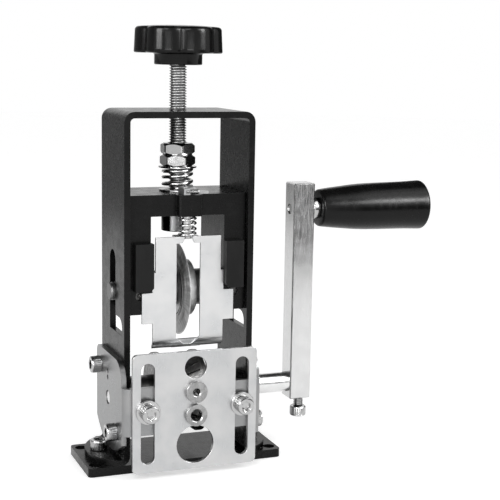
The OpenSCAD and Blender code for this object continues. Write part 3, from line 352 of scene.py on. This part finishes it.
# The brackets carry the same zinc plating, painted darker as shade for the dark surroundings they
# reflect
bracket_zinc_painted_darker = zinc_sheet("zinc-plated bracket painted darker", (1, 0.05, 1), 0.26)
presser_zinc = zinc_sheet("zinc-plated presser", (0.05, 1, 1), 0.55)
keeper_zinc = zinc_sheet("zinc-plated keeper", (0.2, 1, 1), 0.36)
bolt_plate = bright_plate("bright plated bolts", 0.44, 0.13)
arm_plate = bright_plate("drawn bright bar", 0.62, 0.2, (1, 1, 0.05))
shaft_plate = bright_plate("ground bright shaft", 0.72, 0.2, (0.05, 1, 1))
thread_plate = rolled_thread()
spring_wire = bright_plate("hard-drawn spring wire", 0.45, 0.2)
bush_steel = turned_grey("turned guide bush", "X", BUSH_RINGS_Z, 0.3)
axle_steel = turned_grey("turned blade axle", "X", AXLE_Z, 0.17, 0.4)
seat_steel = turned_grey("turned seat and pins", "Z", 0, 0.4)
roller_steel = hard_dark("blackened roller steel", 0.11, 0.32)
ring_steel = turned_grey("blackened hub ring", "X", AXLE_Z, 0.55, 0.48)
screw_black = hard_dark("blackened screws", 0.07, 0.3)
blade_steel = ground_blade()


# Making pieces: a mesh takes the place and body of its frame node

def finished(name, mesh, node, finish, sharp=30):
    """Puts a mesh in place of its frame node. Edges of more than sharp degrees stay crisp."""
    piece = bpy.data.objects.new(name, mesh)
    bpy.context.scene.collection.objects.link(piece)
    mesh.materials.append(finish.material)
    mesh.shade_smooth()
    mesh.set_sharp_from_angle(angle=math.radians(sharp))
    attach(piece, body_of[node])
    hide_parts(node)
    return piece


def eased(node, radius, finish, segments=2):
    """The frame's own solid, with its edges rounded by so many millimetres."""
    flat_within, rounded_from = math.radians(0.4), math.radians(28)
    source = frame["nodes"][node].data
    mesh = bpy.data.meshes.new(node + "_eased")
    mesh.from_pydata([v.co for v in source.vertices], [], [list(p.vertices) for p in source.polygons])
    bm = bmesh.new()
    bm.from_mesh(mesh)
    bmesh.ops.remove_doubles(bm, verts=bm.verts, dist=1e-6)
    bmesh.ops.dissolve_limit(bm, angle_limit=flat_within, verts=bm.verts, edges=bm.edges)
    bm.to_mesh(mesh)
    bm.free()
    piece = finished(node + "_eased", mesh, node, finish)
    bevel = piece.modifiers.new("rounded edges", "BEVEL")
    bevel.width = radius * MM
    bevel.segments = segments
    bevel.limit_method = "ANGLE"
    bevel.angle_limit = rounded_from
    bevel.harden_normals = True
    return piece


def shaped(node, word, draw, finish, sharp=30):
    """A piece that draw makes in an empty mesh, in millimetres, named for its node and the word.

    Its faces are turned outwards.
    """
    bm = bmesh.new()
    draw(bm)
    bmesh.ops.remove_doubles(bm, verts=bm.verts, dist=1e-5)
    bmesh.ops.dissolve_degenerate(bm, edges=bm.edges, dist=1e-6)
    bmesh.ops.recalc_face_normals(bm, faces=bm.faces)
    if bm.calc_volume(signed=True) < 0:
        bmesh.ops.reverse_faces(bm, faces=bm.faces)
    bm.transform(Matrix.Scale(MM, 4))
    mesh = bpy.data.meshes.new(f"{node}_{word}")
    bm.to_mesh(mesh)
    bm.free()
    return finished(f"{node}_{word}", mesh, node, finish, sharp)


# Places for turned shapes, which are drawn round Z

def to_x(x, y, z, sign=1):
    """Lays the shape's axis along X, or along -X where sign is -1."""
    return Matrix.Translation((x, y, z)) @ Matrix.Rotation(sign * math.pi / 2, 4, "Y")


def to_front(x, y, z):
    """Lays the shape's axis along -Y."""
    return Matrix.Translation((x, y, z)) @ Matrix.Rotation(math.pi / 2, 4, "X")


def to_back(x, y, z):
    """Lays the shape's axis along Y."""
    return Matrix.Translation((x, y, z)) @ Matrix.Rotation(-math.pi / 2, 4, "X")


def upright(x, y, z, turn=0.0):
    """Leaves the axis along Z and turns the shape by so many degrees."""
    return Matrix.Translation((x, y, z)) @ Matrix.Rotation(math.radians(turn), 4, "Z")


# Turned shapes

def at(value, angle):
    return value(angle) if callable(value) else value


def polar(radius, angle, z):
    return Vector((radius * math.cos(angle), radius * math.sin(angle), z))


def skin(bm, rows, count):
    """Joins rows of points, each a closed ring of so many points."""
    for low, high in zip(rows, rows[1:]):
        for k in range(count):
            n = (k + 1) % count
            bm.faces.new((low[k], low[n], high[n], high[k]))


def lathe(bm, rings, place=Matrix.Identity(4), steps=96, closed=False):
    """Joins rings of radius and height; either may be a function of the angle."""
    angles = [TURN * k / steps for k in range(steps)]
    rows = [
        [bm.verts.new(place @ polar(at(radius, a), a, at(height, a))) for a in angles]
        for radius, height in rings
    ]
    if closed:
        rows.append(rows[0])
    skin(bm, rows, steps)


def softened(points, ease):
    """Points of a profile with each inner corner rounded by up to ease."""
    steps = 3
    longest_share = 0.45
    out = [points[0]]
    for before, here, after in zip(points, points[1:], points[2:]):
        to_before = math.dist(here, before)
        to_after = math.dist(here, after)
        reach = min(ease, to_before * longest_share, to_after * longest_share)
        if reach < 1e-4:
            out.append(here)
            continue
        start = [h + (b - h) * reach / to_before for h, b in zip(here, before)]
        end = [h + (b - h) * reach / to_after for h, b in zip(here, after)]
        for i in range(steps + 1):
            t = i / steps
            out.append(tuple(
                (1 - t) ** 2 * s + 2 * t * (1 - t) * h + t * t * e
                for s, h, e in zip(start, here, end)
            ))
    return out + [points[-1]]


def tube(outer, inner, low, high, ease):
    """Closed profile of a sleeve or washer."""
    mid = (outer + inner) / 2
    return softened([
        (mid, low), (outer, low), (outer, high), (inner, high), (inner, low), (mid, low),
    ], ease)


def hexagon(across, corner=None):
    """Radius of a hexagon at an angle, its corners cut back to the radius corner."""
    def r(a):
        part = (a + math.pi / 6) % (math.pi / 3) - math.pi / 6
        reach = across / 2 / math.cos(part)
        return min(reach, corner) if corner else reach
    return r


def knurl(radius, depth, teeth):
    """Radius of a straight-knurled edge."""
    def r(a):
        part = a * teeth / TURN % 1
        return radius - depth * abs(2 * part - 1)
    return r


# Threads, bolts and nuts

def thread(bm, place, d, pitch, low, high, chamfer, steps=36):
    """Screw thread as one long helix with flat crests and roots, and both ends chamfered."""
    root = d / 2 - 0.64 * pitch
    profile = ((0.0, root), (0.26, root), (0.56, d / 2), (0.7, d / 2))
    last = len(profile) - 1
    count = int(math.ceil((high - low) / pitch)) * steps + steps
    rows = []
    for j in range(-steps, count + 1):
        row = []
        for share, r in profile:
            z = min(max(low + pitch * (j / steps + share), low), high)
            r = min(r, d / 2 - chamfer + min(z - low, high - z))
            row.append(bm.verts.new(place @ polar(r, TURN * j / steps, z)))
        rows.append(row)
    for j, (here, ahead) in enumerate(zip(rows, rows[1:])):
        for k in range(last):
            bm.faces.new((here[k], ahead[k], ahead[k + 1], here[k + 1]))
        if j + 1 + steps < len(rows):
            above, above_ahead = rows[j + steps], rows[j + 1 + steps]
            bm.faces.new((here[last], ahead[last], above_ahead[0], above[0]))
    for z in (low, high):
        bm.faces.new([
            bm.verts.new(place @ polar(d / 2 - chamfer, TURN * k / steps, z)) for k in range(steps)
        ])


# Socket head bolts, and the smaller screws in the guide blocks: thread diameter, head diameter
# and height, socket across its flats, and the socket's depth
BOLT = {"d": 6.0, "head_d": 10.0, "head_h": 6.0, "socket_af": 5.0, "socket_depth": 3.0}
BLOCK_SCREW = {"d": 4.0, "head_d": 7.0, "head_h": 4.0, "socket_af": 3.0, "socket_depth": 2.0}
BOLT_HEAD_R = BOLT["head_d"] / 2


def cap_head(bm, place, length, d, head_d, head_h, socket_af, socket_depth):
    """Socket head bolt: knurled head on the seat, hexagon socket, and shank with a rolled thread."""
    socket = hexagon(socket_af)
    floor = head_h - socket_depth
    rim = head_d / 2
    side = knurl(rim, depth=0.016 * head_d, teeth=30)
    edge = 0.09 * head_d
    in_socket = [
        (0, floor - socket_af * 0.25), (lambda a: socket(a) * 0.9, floor), (socket, floor),
        (socket, head_h - 0.05 * socket_af), (socket_af * 0.62, head_h),
    ]
    round_top = [
        (rim - edge, head_h), (rim - edge * 0.45, head_h - edge * 0.14),
        (rim - edge * 0.1, head_h - edge * 0.6), (rim - 0.01, head_h - edge),
    ]
    down_side = [
        (side, head_h - edge * 1.2), (side, edge * 0.7), (rim - edge * 0.3, edge * 0.3),
        (rim - edge * 0.5, 0), (d / 2, 0),
    ]
    lathe(bm, in_socket + round_top + down_side, place, steps=120)
    shank = place @ Matrix.Translation((0, 0, -length))
    thread(bm, shank, d, d / 6, 0, length, min(0.8, d / 8))


def bracket_bolts(bm):
    """Two bolts through each bracket into its leg, low in front and high behind the shaft."""
    away_y, away_z = 17.112, 15.675
    tail = 2
    for side in (-1, 1):
        for end in (-1, 1):
            seat = to_x(side * BRACKET_OUT, end * away_y, SHAFT_Z + end * away_z, side)
            cap_head(bm, seat, BRACKET_OUT - LEG_IN + tail, **BOLT)


def foot_bolts(bm):
    """One bolt down through each foot of the arch and through the base."""
    x = highest("foot_bolts").x - BOLT_HEAD_R
    foot_top = highest("foot_bolts").z - BOLT["head_h"]
    for side in (-1, 1):
        cap_head(bm, upright(side * x, 0, foot_top), foot_top, **BOLT)


CLAMP_X = highest("clamp_bolts").x - BOLT_HEAD_R


def clamp_bolts(bm):
    """The two bolts that clamp the guide plate to the brackets' flanges."""
    length = 9.2
    for side in (-1, 1):
        seat = to_front(side * CLAMP_X, lowest("clamp_washers").y, SHAFT_Z)
        cap_head(bm, seat, length, **BOLT)


def clamp_washers(bm):
    """The washers under the clamp bolts' heads."""
    bore = 3.2
    outer = highest("clamp_washers").x - CLAMP_X
    back = highest("clamp_washers").y
    profile = tube(outer, bore, 0, back - lowest("clamp_washers").y, 0.3)
    for side in (-1, 1):
        lathe(bm, profile, to_front(side * CLAMP_X, back, SHAFT_Z), closed=True)


def arm_screw(bm):
    """The screw that comes up from under the crank arm into the shaft."""
    length = 10.6
    x = highest("arm_screw").x - BOLT_HEAD_R
    seat = upright(x, 0, lowest("arm_screw").z + BOLT["head_h"])
    cap_head(bm, seat @ Matrix.Rotation(math.pi, 4, "X"), length, **BOLT)


def block_screws(bm):
    """The screws that go from the fork's back into the guide blocks."""
    length = 42.6
    x = highest("block_screws").x - BLOCK_SCREW["head_d"] / 2
    for side in (-1, 1):
        seat = to_back(side * x, highest("blade_carrier").y, middle("guide_blocks").z)
        cap_head(bm, seat, length, **BLOCK_SCREW)


def nut(bm, z, height, turn):
    """Hexagon nut with both faces chamfered and a countersunk bore."""
    across = 18.0
    face = across / 2 * 0.93
    side = hexagon(across, across / math.sqrt(3) * 0.985)
    sink = 0.8

    def drop(a):
        return (side(a) - face) * math.tan(math.pi / 4.6)

    lathe(bm, [
        (SCREW_BORE, sink), (SCREW_BORE + sink, 0), (face, 0), (side, drop),
        (side, lambda a: height - drop(a)), (face, height), (SCREW_BORE + sink, height),
        (SCREW_BORE, height - sink),
    ], upright(0, 0, z, turn), steps=144, closed=True)


def lock_nuts(bm):
    """The two nuts on the screw, turned in degrees as the photograph shows them."""
    lower_turn, upper_turn = 7.6, -3.7
    base = lowest("lock_nuts").z
    height = (highest("lock_nuts").z - base) / 2
    nut(bm, base, height, lower_turn)
    nut(bm, base + height, height, upper_turn)


# Pieces on the adjusting screw

def screw_ring(node, bore, ease):
    """Draws a plain ring round the screw, as wide and high as its frame node."""
    def draw(bm):
        lathe(bm, tube(highest(node).x, bore, lowest(node).z, highest(node).z, ease), closed=True)
    return draw


def adjusting_screw(bm):
    low, high = lowest("adjusting_screw").z, highest("adjusting_screw").z
    thread(bm, Matrix.Identity(4), 2 * SCREW_R, SCREW_PITCH, low, high, chamfer=0.9, steps=60)


def collar_pin(bm):
    """The pin across the collar on the screw's lower end."""
    radius = highest("collar_pin").x
    half = 8.95
    profile = softened([(0, -half), (radius, -half), (radius, half), (0, half)], 0.3)
    lathe(bm, profile, to_back(0, 0, middle("end_collar").z), steps=32)


def keeper_screw(bm):
    """The small screw along X that holds the pin's keeper."""
    low, high, mid = lowest("keeper_screw"), highest("keeper_screw"), middle("keeper_screw")
    length = high.x - low.x
    thread(bm, to_x(low.x, mid.y, mid.z), high.z - low.z, 0.5, 0, length, chamfer=0.35)


# Springs

def coil(bm, place, outer, wire, turns, height, start):
    """Compression spring with a close turn at each end and the wire's ends rounded.

    The wire starts at the angle start, in degrees.
    """
    sides = 14
    steps = 40
    mean = (outer - wire) / 2
    close = wire + 0.6
    open_rise = (height - wire - 2 * close) / (turns - 2)
    count = round(turns * steps)

    def rise(t):
        if t < 1:
            return close * t
        if t < turns - 1:
            return close + open_rise * (t - 1)
        return close + open_rise * (turns - 2) + close * (t - turns + 1)

    ends = [(0, 0.02), (0, 0.55), (0, 0.85), (0, 1)]
    stations = ends + [(i, 1) for i in range(1, count)] + [(count, s) for _, s in reversed(ends)]
    lean_at = {0: -1, count: 1}
    rows = []
    for i, share in stations:
        lean = lean_at.get(i, 0) * math.sqrt(1 - share * share) * wire / 2
        a = math.radians(start) + TURN * i / steps + lean / mean
        z = wire / 2 + rise(i / steps)
        row = []
        for k in range(sides):
            out, up = (share * wire / 2 * f(TURN * k / sides) for f in (math.cos, math.sin))
            row.append(bm.verts.new(place @ polar(mean + out, a, z + up)))
        rows.append(row)
    skin(bm, rows, sides)
    bm.faces.new(rows[0])
    bm.faces.new(rows[-1])


# Fitted heights of the two springs
MAIN_SPRING_H = 12.3
PRESSER_SPRING_H = 11.7


def main_spring(bm):
    """The spring between its seat on the fork and the washer under the nuts."""
    seat = upright(0, 0, lowest("main_spring").z)
    coil(bm, seat, outer=18.4, wire=1.9, turns=3.25, height=MAIN_SPRING_H, start=-112)


def presser_spring(bm):
    """The spring on the presser's guide pin."""
    seat = upright(0, middle("guide_pin").y, lowest("presser_spring").z)
    coil(bm, seat, outer=10.8, wire=1.1, turns=4.25, height=PRESSER_SPRING_H, start=122)


# Turned pieces

def guide_pin(bm):
    """The presser's pin: a stem between the sheet and the keeper, and a neck through each."""
    low, high = lowest("guide_pin").z, highest("guide_pin").z
    sheet, keeper = highest("presser_plate").z, lowest("pin_keeper").z
    stem = highest("guide_pin").x
    neck = stem - 1
    lathe(bm, softened([
        (0, low), (neck, low), (neck, sheet), (stem, sheet), (stem, keeper), (neck, keeper),
        (neck, high), (0, high),
    ], 0.3), upright(0, middle("guide_pin").y, 0), steps=64)


def blade_axle(bm):
    """The axle, with two grooves at each end, one inside the leg and one outside it."""
    radius = highest("blade_axle").y
    tip = highest("blade_axle").x
    floor = radius - 0.5
    grooves = []
    for share in (1.25, 0.5):
        x = tip - share * (tip - LEG_OUT)
        grooves += [(radius, x - 0.8), (floor, x - 0.75), (floor, x - 0.05), (radius, x)]
    face = [(radius - 0.35, tip), (0, tip)]
    left = [(r, -x) for r, x in reversed(grooves + face)]
    lathe(bm, left + grooves + [(radius, tip - 0.35)] + face, to_x(0, 0, AXLE_Z))


# Radius of the bores on the blade's axle, and side clearance of turning parts
AXLE_BORE = 5.25
SIDE_GAP = 0.05


def axle_spacers(bm):
    """The spacers between the fork's arms and the blade with its ring."""
    outer, end = highest("axle_spacers").y, highest("axle_spacers").x
    spans = ((-end, lowest("cutting_blade").x - SIDE_GAP), (highest("blade_ring").x + SIDE_GAP, end))
    for start, stop in spans:
        lathe(bm, tube(outer, AXLE_BORE, start, stop, 0.5), to_x(0, 0, AXLE_Z), closed=True)


def cutting_blade(bm):
    """The blade: a groove and a rounded band on its left side, a plain cone on its right."""
    left, right = lowest("cutting_blade").x, highest("cutting_blade").x
    bore = AXLE_BORE + 0.05
    flat = [(bore, left), (15.6, left)]
    groove = [(16.6, -2.05), (17.2, -1.5), (17.7, -1.5), (18.1, -2.0)]
    band = [(18.9, -2.18), (20, -2.1), (21.1, -1.8), (22.1, -1.3), (22.5, -1.22)]
    edge = [(26.6, -0.58), (BLADE_R - 0.03, -0.43), (BLADE_R - 0.03, -0.37), (26.6, -0.2)]
    cone = [(BEVEL_R, right), (bore, right)]
    lathe(bm, flat + groove + band + edge + cone, to_x(0, 0, AXLE_Z), steps=192, closed=True)


def blade_ring(bm):
    """The ring that clamps the blade, a little inside the start of its cone."""
    left, right = lowest("blade_ring").x, highest("blade_ring").x
    profile = tube(BEVEL_R - 0.05, AXLE_BORE, left, right, 1.1)
    lathe(bm, profile, to_x(0, 0, AXLE_Z), steps=144, closed=True)


def shaft_bushes(bm):
    """A flanged bush in each leg, with a wider bore on the right than on the left."""
    flange = highest("shaft_bushes").y
    sleeve = flange - 1.6
    inner = LEG_IN - 1.6
    for sign, bore in ((1, 6.05), (-1, 4.05)):
        lathe(bm, softened([
            (flange - 1, inner), (flange, inner), (flange, LEG_IN), (sleeve, LEG_IN),
            (sleeve, LEG_OUT), (bore, LEG_OUT), (bore, inner), (flange - 1, inner),
        ], 0.25), to_x(0, 0, SHAFT_Z, sign), closed=True)


def guide_bush(node, bore):
    """Draws a flanged cable bush, whose sleeve goes through the guide plate."""
    def draw(bm):
        back, front, plate = -highest(node).y, -lowest(node).y, -lowest("front_plate").y
        flange = highest(node).x
        sleeve = 4.5
        lathe(bm, softened([
            (bore + 0.8, back), (sleeve, back), (sleeve, plate), (flange, plate), (flange, front),
            (bore + 0.7, front), (bore, front - 0.7), (bore, back), (bore + 0.8, back),
        ], 0.3), to_front(0, 0, middle(node).z), closed=True)
    return draw


def roller_collars(bm):
    """The collars that hold the roller in the middle of the shaft."""
    bore = 6.05
    end = highest("roller_collars")
    profile = tube(end.y, bore, highest("feed_roller").x, end.x - SIDE_GAP, 0.5)
    for sign in (-1, 1):
        lathe(bm, profile, to_x(0, 0, SHAFT_Z, sign), closed=True)


# Knob: radius over its lobes, radius of one lobe, number of lobes, turn in degrees, and how
# sharp the valleys between them are
KNOB_R = 25.2
LOBE_R = 12.9
LOBES = 6
KNOB_TURN = -104
VALLEY_SHARPNESS = 3.5


def knob_outline(inset):
    """Radius of the knob's lobes, drawn in by inset, with soft valleys."""
    def r(a):
        reach = KNOB_R - LOBE_R
        lobe = LOBE_R - inset
        total = 0.0
        for i in range(LOBES):
            b = a - TURN * (i + 0.5) / LOBES - math.radians(KNOB_TURN)
            across = reach * math.sin(b)
            if abs(across) < lobe:
                far = reach * math.cos(b) + math.sqrt(lobe ** 2 - across ** 2)
                total += math.exp(VALLEY_SHARPNESS * far)
        return min(math.log(total) / VALLEY_SHARPNESS, KNOB_R - inset)
    return r


def adjusting_knob(bm):
    """Hub, tapered lobed side, rounded shoulder and a slightly domed top."""
    base, top = lowest("adjusting_knob").z, highest("adjusting_knob").z
    hub = 13.7
    under = base + 6.5
    side_low, side_high = under + 0.9, top - 3.0
    taper = 0.6
    shoulder = 2.2
    side_steps, shoulder_steps = 8, 6
    rings = [
        (SCREW_BORE, base), (hub - 0.6, base), (hub - 0.15, base + 0.2), (hub, base + 0.6),
        (hub, under - 0.8), (hub + 0.4, under - 0.2), (hub + 1.8, under),
        (knob_outline(1.0), under), (knob_outline(0.3), under + 0.25), (knob_outline(0.0), side_low),
    ]
    for step in range(1, side_steps + 1):
        rise = step / side_steps
        rings.append((knob_outline(taper * rise), side_low + (side_high - side_low) * rise))
    for step in range(1, shoulder_steps + 1):
        a = math.pi / 2 * step / shoulder_steps
        outline = knob_outline(taper + shoulder * (1 - math.cos(a)))
        rings.append((outline, side_high + shoulder * math.sin(a)))
    rings += [(knob_outline(4.5), top - 0.62), (14, top - 0.25), (8, top - 0.06), (0, top)]
    lathe(bm, rings, steps=420)


# Grip's outline from the arm outwards: share of its length, and radius
GRIP_SHAPE = (
    (0, 11.3), (0.075, 12.04), (0.187, 12.75), (0.3, 13.6), (0.41, 14.12), (0.58, 14.4),
    (0.75, 14.54), (0.86, 14.68), (0.94, 14.95), (1, 15.1),
)


def grip_radius(share):
    """Radius at a share of the grip's length, 0 to 1, in straight lines between its sizes."""
    for (s0, r0), (s1, r1) in zip(GRIP_SHAPE, GRIP_SHAPE[1:]):
        if share <= s1:
            return r0 + (r1 - r0) * (share - s0) / (s1 - s0)
    return GRIP_SHAPE[-1][1]


def handle_grip(bm):
    """The grip: bored for its sleeve, smooth along its outline, and hollow for its plug."""
    x0, x1 = lowest("handle_grip").x, highest("handle_grip").x
    bore = 4.9
    ease = 1.6
    lip = 1.2
    plug_seat = 7.55
    plug_floor = x1 - 3.9
    steps = 40
    length = x1 - x0 - 2 * ease - lip
    small, large = grip_radius(0) - ease, grip_radius(1) - ease
    quarter = [math.pi / 12 * i for i in range(7)]
    rings = [(bore, x0 + 3), (bore, x0)]
    rings += [(small + ease * math.sin(t), x0 + ease - ease * math.cos(t)) for t in quarter]
    for i in range(1, steps + 1):
        s = i / steps
        near = [grip_radius(min(max(s + d / steps, 0), 1)) for d in (-2, -1, 0, 1, 2)]
        radius = sum(near) / len(near) if i < steps - 1 else grip_radius(s)
        rings.append((radius, x0 + ease + length * s))
    rings += [
        (large + ease * math.cos(t), x1 - lip - ease + ease * math.sin(t)) for t in quarter[1:]
    ]
    rings += [
        (7.9, x1 - 0.06), (7.6, x1), (plug_seat, x1 - 0.3), (plug_seat, plug_floor),
        (bore, plug_floor),
    ]
    lathe(bm, rings, to_x(0, 0, SPINDLE_Z), steps=128)


def grip_plug(bm):
    """The plug in the grip's outer end, with a faint dish in its face."""
    start, end = lowest("grip_plug").x, highest("grip_plug").x
    radius = 7.45
    profile = softened([(0, start), (radius, start), (radius, end), (0, end - 0.25)], 0.4)
    lathe(bm, profile, to_x(0, 0, SPINDLE_Z))


def spindle_collar(bm):
    """The collar between the arm and the grip."""
    profile = tube(6.5, 3.9, lowest("spindle_collar").x, highest("spindle_collar").x, 0.5)
    lathe(bm, profile, to_x(0, 0, SPINDLE_Z), closed=True)


# All pieces, each with its finish

for node, radius, segments, finish in (
    ("base_plate", 0.5, 3, black_coat),
    ("arch_frame", 0.3, 2, black_coat),
    ("blade_carrier", 0.4, 3, black_coat),
    ("guide_blocks", 0.4, 2, block_plastic),
    ("left_bracket", 0.3, 2, bracket_zinc_painted_darker),
    ("right_bracket", 0.3, 2, bracket_zinc_painted_darker),
    ("front_plate", 0.25, 2, plate_zinc),
    ("presser_plate", 0.2, 2, presser_zinc),
    ("stop_plate", 0.2, 2, presser_zinc),
    ("pin_keeper", 0.25, 2, keeper_zinc),
    ("crank_arm", 0.14, 2, arm_plate),
    ("crank_shaft", 0.12, 2, shaft_plate),
    ("feed_roller", 0.14, 2, roller_steel),
    ("axle_set_screws", 0.12, 2, screw_black),
    ("collar_screws", 0.1, 2, screw_black),
    ("spindle_clip", 0.08, 2, seat_steel),
    ("ring_screws", 0.1, 2, screw_black),
):
    eased(node, radius, finish, segments)

shaped("bracket_bolts", "knurled", bracket_bolts, bolt_plate)
shaped("foot_bolts", "knurled", foot_bolts, bolt_plate)
shaped("clamp_bolts", "knurled", clamp_bolts, bolt_plate)
shaped("clamp_washers", "rolled", clamp_washers, bolt_plate)
shaped("arm_screw", "knurled", arm_screw, bolt_plate)
shaped("block_screws", "knurled", block_screws, screw_black)
shaped("lock_nuts", "chamfered", lock_nuts, bolt_plate, 20)
shaped("spring_washer", "rolled", screw_ring("spring_washer", SCREW_BORE, 0.25), bolt_plate)
shaped("spring_seat", "turned", screw_ring("spring_seat", SCREW_BORE, 0.25), seat_steel)
shaped("adjusting_screw", "threaded", adjusting_screw, thread_plate)
shaped("end_collar", "turned", screw_ring("end_collar", 5.05, 0.5), black_coat)
shaped("collar_pin", "rolled", collar_pin, seat_steel)
shaped("keeper_screw", "threaded", keeper_screw, bolt_plate)

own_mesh(shaped("main_spring", "wound", main_spring, spring_wire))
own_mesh(shaped("presser_spring", "wound", presser_spring, spring_wire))

shaped("guide_pin", "turned", guide_pin, seat_steel)
shaped("blade_axle", "turned", blade_axle, axle_steel)
shaped("axle_spacers", "turned", axle_spacers, axle_steel)
shaped("cutting_blade", "ground", cutting_blade, blade_steel, 12)
shaped("blade_ring", "turned", blade_ring, ring_steel)
shaped("shaft_bushes", "turned", shaft_bushes, bush_steel)
shaped("small_bush", "turned", guide_bush("small_bush", 1.9), bush_steel)
shaped("large_bush", "turned", guide_bush("large_bush", 3.2), bush_steel)
shaped("roller_collars", "turned", roller_collars, roller_steel)
shaped("adjusting_knob", "moulded", adjusting_knob, knob_plastic, 50)
shaped("handle_grip", "moulded", handle_grip, grip_plastic)
shaped("grip_plug", "moulded", grip_plug, grip_plastic)
shaped("spindle_collar", "turned", spindle_collar, bolt_plate)
eased("grip_spindle", 0.2, bolt_plate)
eased("grip_sleeve", 0.15, seat_steel)


# Floor, light and camera, in metres

def linked(name, data):
    """A new object in the scene that isn't part of the tool."""
    made = bpy.data.objects.new(name, data)
    bpy.context.scene.collection.objects.link(made)
    return made


def stand():
    """Pale round floor, brighter to the camera and in reflections, that keeps the shadow."""
    radius = 4
    count = 64
    rim = [polar(radius, TURN * k / count, 0) for k in range(count)]
    mesh = bpy.data.meshes.new("floor")
    mesh.from_pydata(rim, [], [list(range(count))])
    floor = linked("floor", mesh)
    f = Finish("pale floor", Roughness=0.9, Specular_IOR_Level=0.1, Emission_Strength=1.0)
    f.set(Base_Color=f.mix(f.grain(40), grey(0.78), grey(0.8)))
    f.set(Emission_Color=f.mix(f.seen(), grey(0.0), grey(0.5)))
    mesh.materials.append(f.material)
    floor.location.z = -0.2 * MM


def studio():
    """White all round to the camera and in reflections, a plain level on the object."""
    world = bpy.data.worlds.new("studio")
    bpy.context.scene.world = world
    world.use_nodes = True
    nodes = Nodes(world.node_tree)
    back = nodes.tree.nodes["Background"]
    level = nodes.node("MapRange", {}, {"Value": nodes.seen(), "To Min": 0.6, "To Max": 1.0})
    nodes.join(back.inputs["Color"], grey(1.0))
    nodes.join(back.inputs["Strength"], level)


def lamp(name, place, target, size, power, lights=True):
    """Soft lamp; with lights off it is only a panel that shows in reflections."""
    data = bpy.data.lights.new(name, "AREA")
    data.shape = "RECTANGLE"
    data.size, data.size_y = size
    data.energy = power
    made = linked(name, data)
    made.location = place
    aim = Vector(target) - Vector(place)
    made.rotation_euler = aim.to_track_quat("-Z", "Y").to_euler()
    made.visible_camera = False
    made.visible_diffuse = lights


def card(name, level, corners):
    """Grey card beside the set, seen only in reflections, so that metal shows its form."""
    mesh = bpy.data.meshes.new(name)
    mesh.from_pydata(corners, [], [(0, 1, 2, 3)])
    made = linked(name, mesh)
    f = Finish(name + " felt", Roughness=1.0, Specular_IOR_Level=0.0)
    f.set(Base_Color=f.mix(f.grain(3), grey(level * 0.9), grey(level * 1.1)))
    mesh.materials.append(f.material)
    made.visible_camera = False
    made.visible_shadow = False
    made.visible_diffuse = False


def upright_card(name, level, start, end, low, high):
    """Card that stands over the line from start to end, between two heights."""
    card(name, level, [(*start, low), (*end, low), (*end, high), (*start, high)])


def camera():
    """The photograph's place and lens, fitted to points of the object in it."""
    yaw, pitch, roll = (math.radians(a) for a in (-21.68, 9.23, 0.99))
    place = (-0.21929, -0.66673, 0.23845)
    focal_pixels = 1222.18
    picture_pixels = 500
    sensor = 36
    back = Vector((
        math.sin(yaw) * math.cos(pitch), -math.cos(yaw) * math.cos(pitch), math.sin(pitch),
    ))
    level = (-back).cross(Vector((0, 0, 1))).normalized()
    up = level.cross(-back)
    right = level * math.cos(roll) + up * math.sin(roll)
    top = up * math.cos(roll) - level * math.sin(roll)
    stance = Matrix((right, top, back)).transposed().to_4x4()
    stance.translation = Vector(place)
    data = bpy.data.cameras.new("camera")
    data.lens = focal_pixels / picture_pixels * sensor
    data.sensor_width = sensor
    data.clip_start = 0.01
    made = linked("camera", data)
    made.matrix_world = stance
    bpy.context.scene.camera = made


# What the lamps and panels point at: the tool's middle, the space beside its crank, just above
# the knob, and the knob's hub
MIDDLE = (0, 0, 0.12)
CRANK = (0.1, 0, 0.14)
KNOB_TOP = (0, 0, 0.26)
KNOB_HUB = (0, 0, 0.235)

stand()
studio()
lamp("key softbox", (-0.6, -0.9, 0.8), MIDDLE, (0.5, 0.5), 5.0)
lamp("fill softbox", (0.7, -0.6, 0.9), MIDDLE, (0.6, 0.6), 3.0)
lamp("left panel", (-0.92, -0.385, 0.52), KNOB_TOP, (0.5, 0.4), 11.0, False)
lamp("right panel", (0.82, -0.74, 0.56), KNOB_TOP, (0.45, 0.36), 10.0, False)
lamp("low front panel", (-0.42, -1.2, 0.235), KNOB_HUB, (0.7, 0.16), 4.0, False)
lamp("high front panel", (0.58, -0.76, 0.58), CRANK, (0.5, 0.22), 4.5, False)
lamp("top panel", (0.5, -0.32, 1.05), CRANK, (0.8, 0.25), 1.0, False)
upright_card("front card", 0.12, (0.2, -0.4), (0.6, -0.4), 0.035, 0.18)
upright_card("right card", 0.06, (0.9, 0.0), (0.55, 0.75), 0, 0.9)
upright_card("left card", 0.42, (-1.0, 0.1), (-0.15, 1.15), 0, 0.9)
card("top card", 0.06, [(-1.0, -0.9, 1.25), (1.3, -0.9, 1.25), (1.3, 1.5, 1.25), (-1.0, 1.5, 1.25)])
camera()

bpy.context.scene.view_settings.view_transform = "Standard"
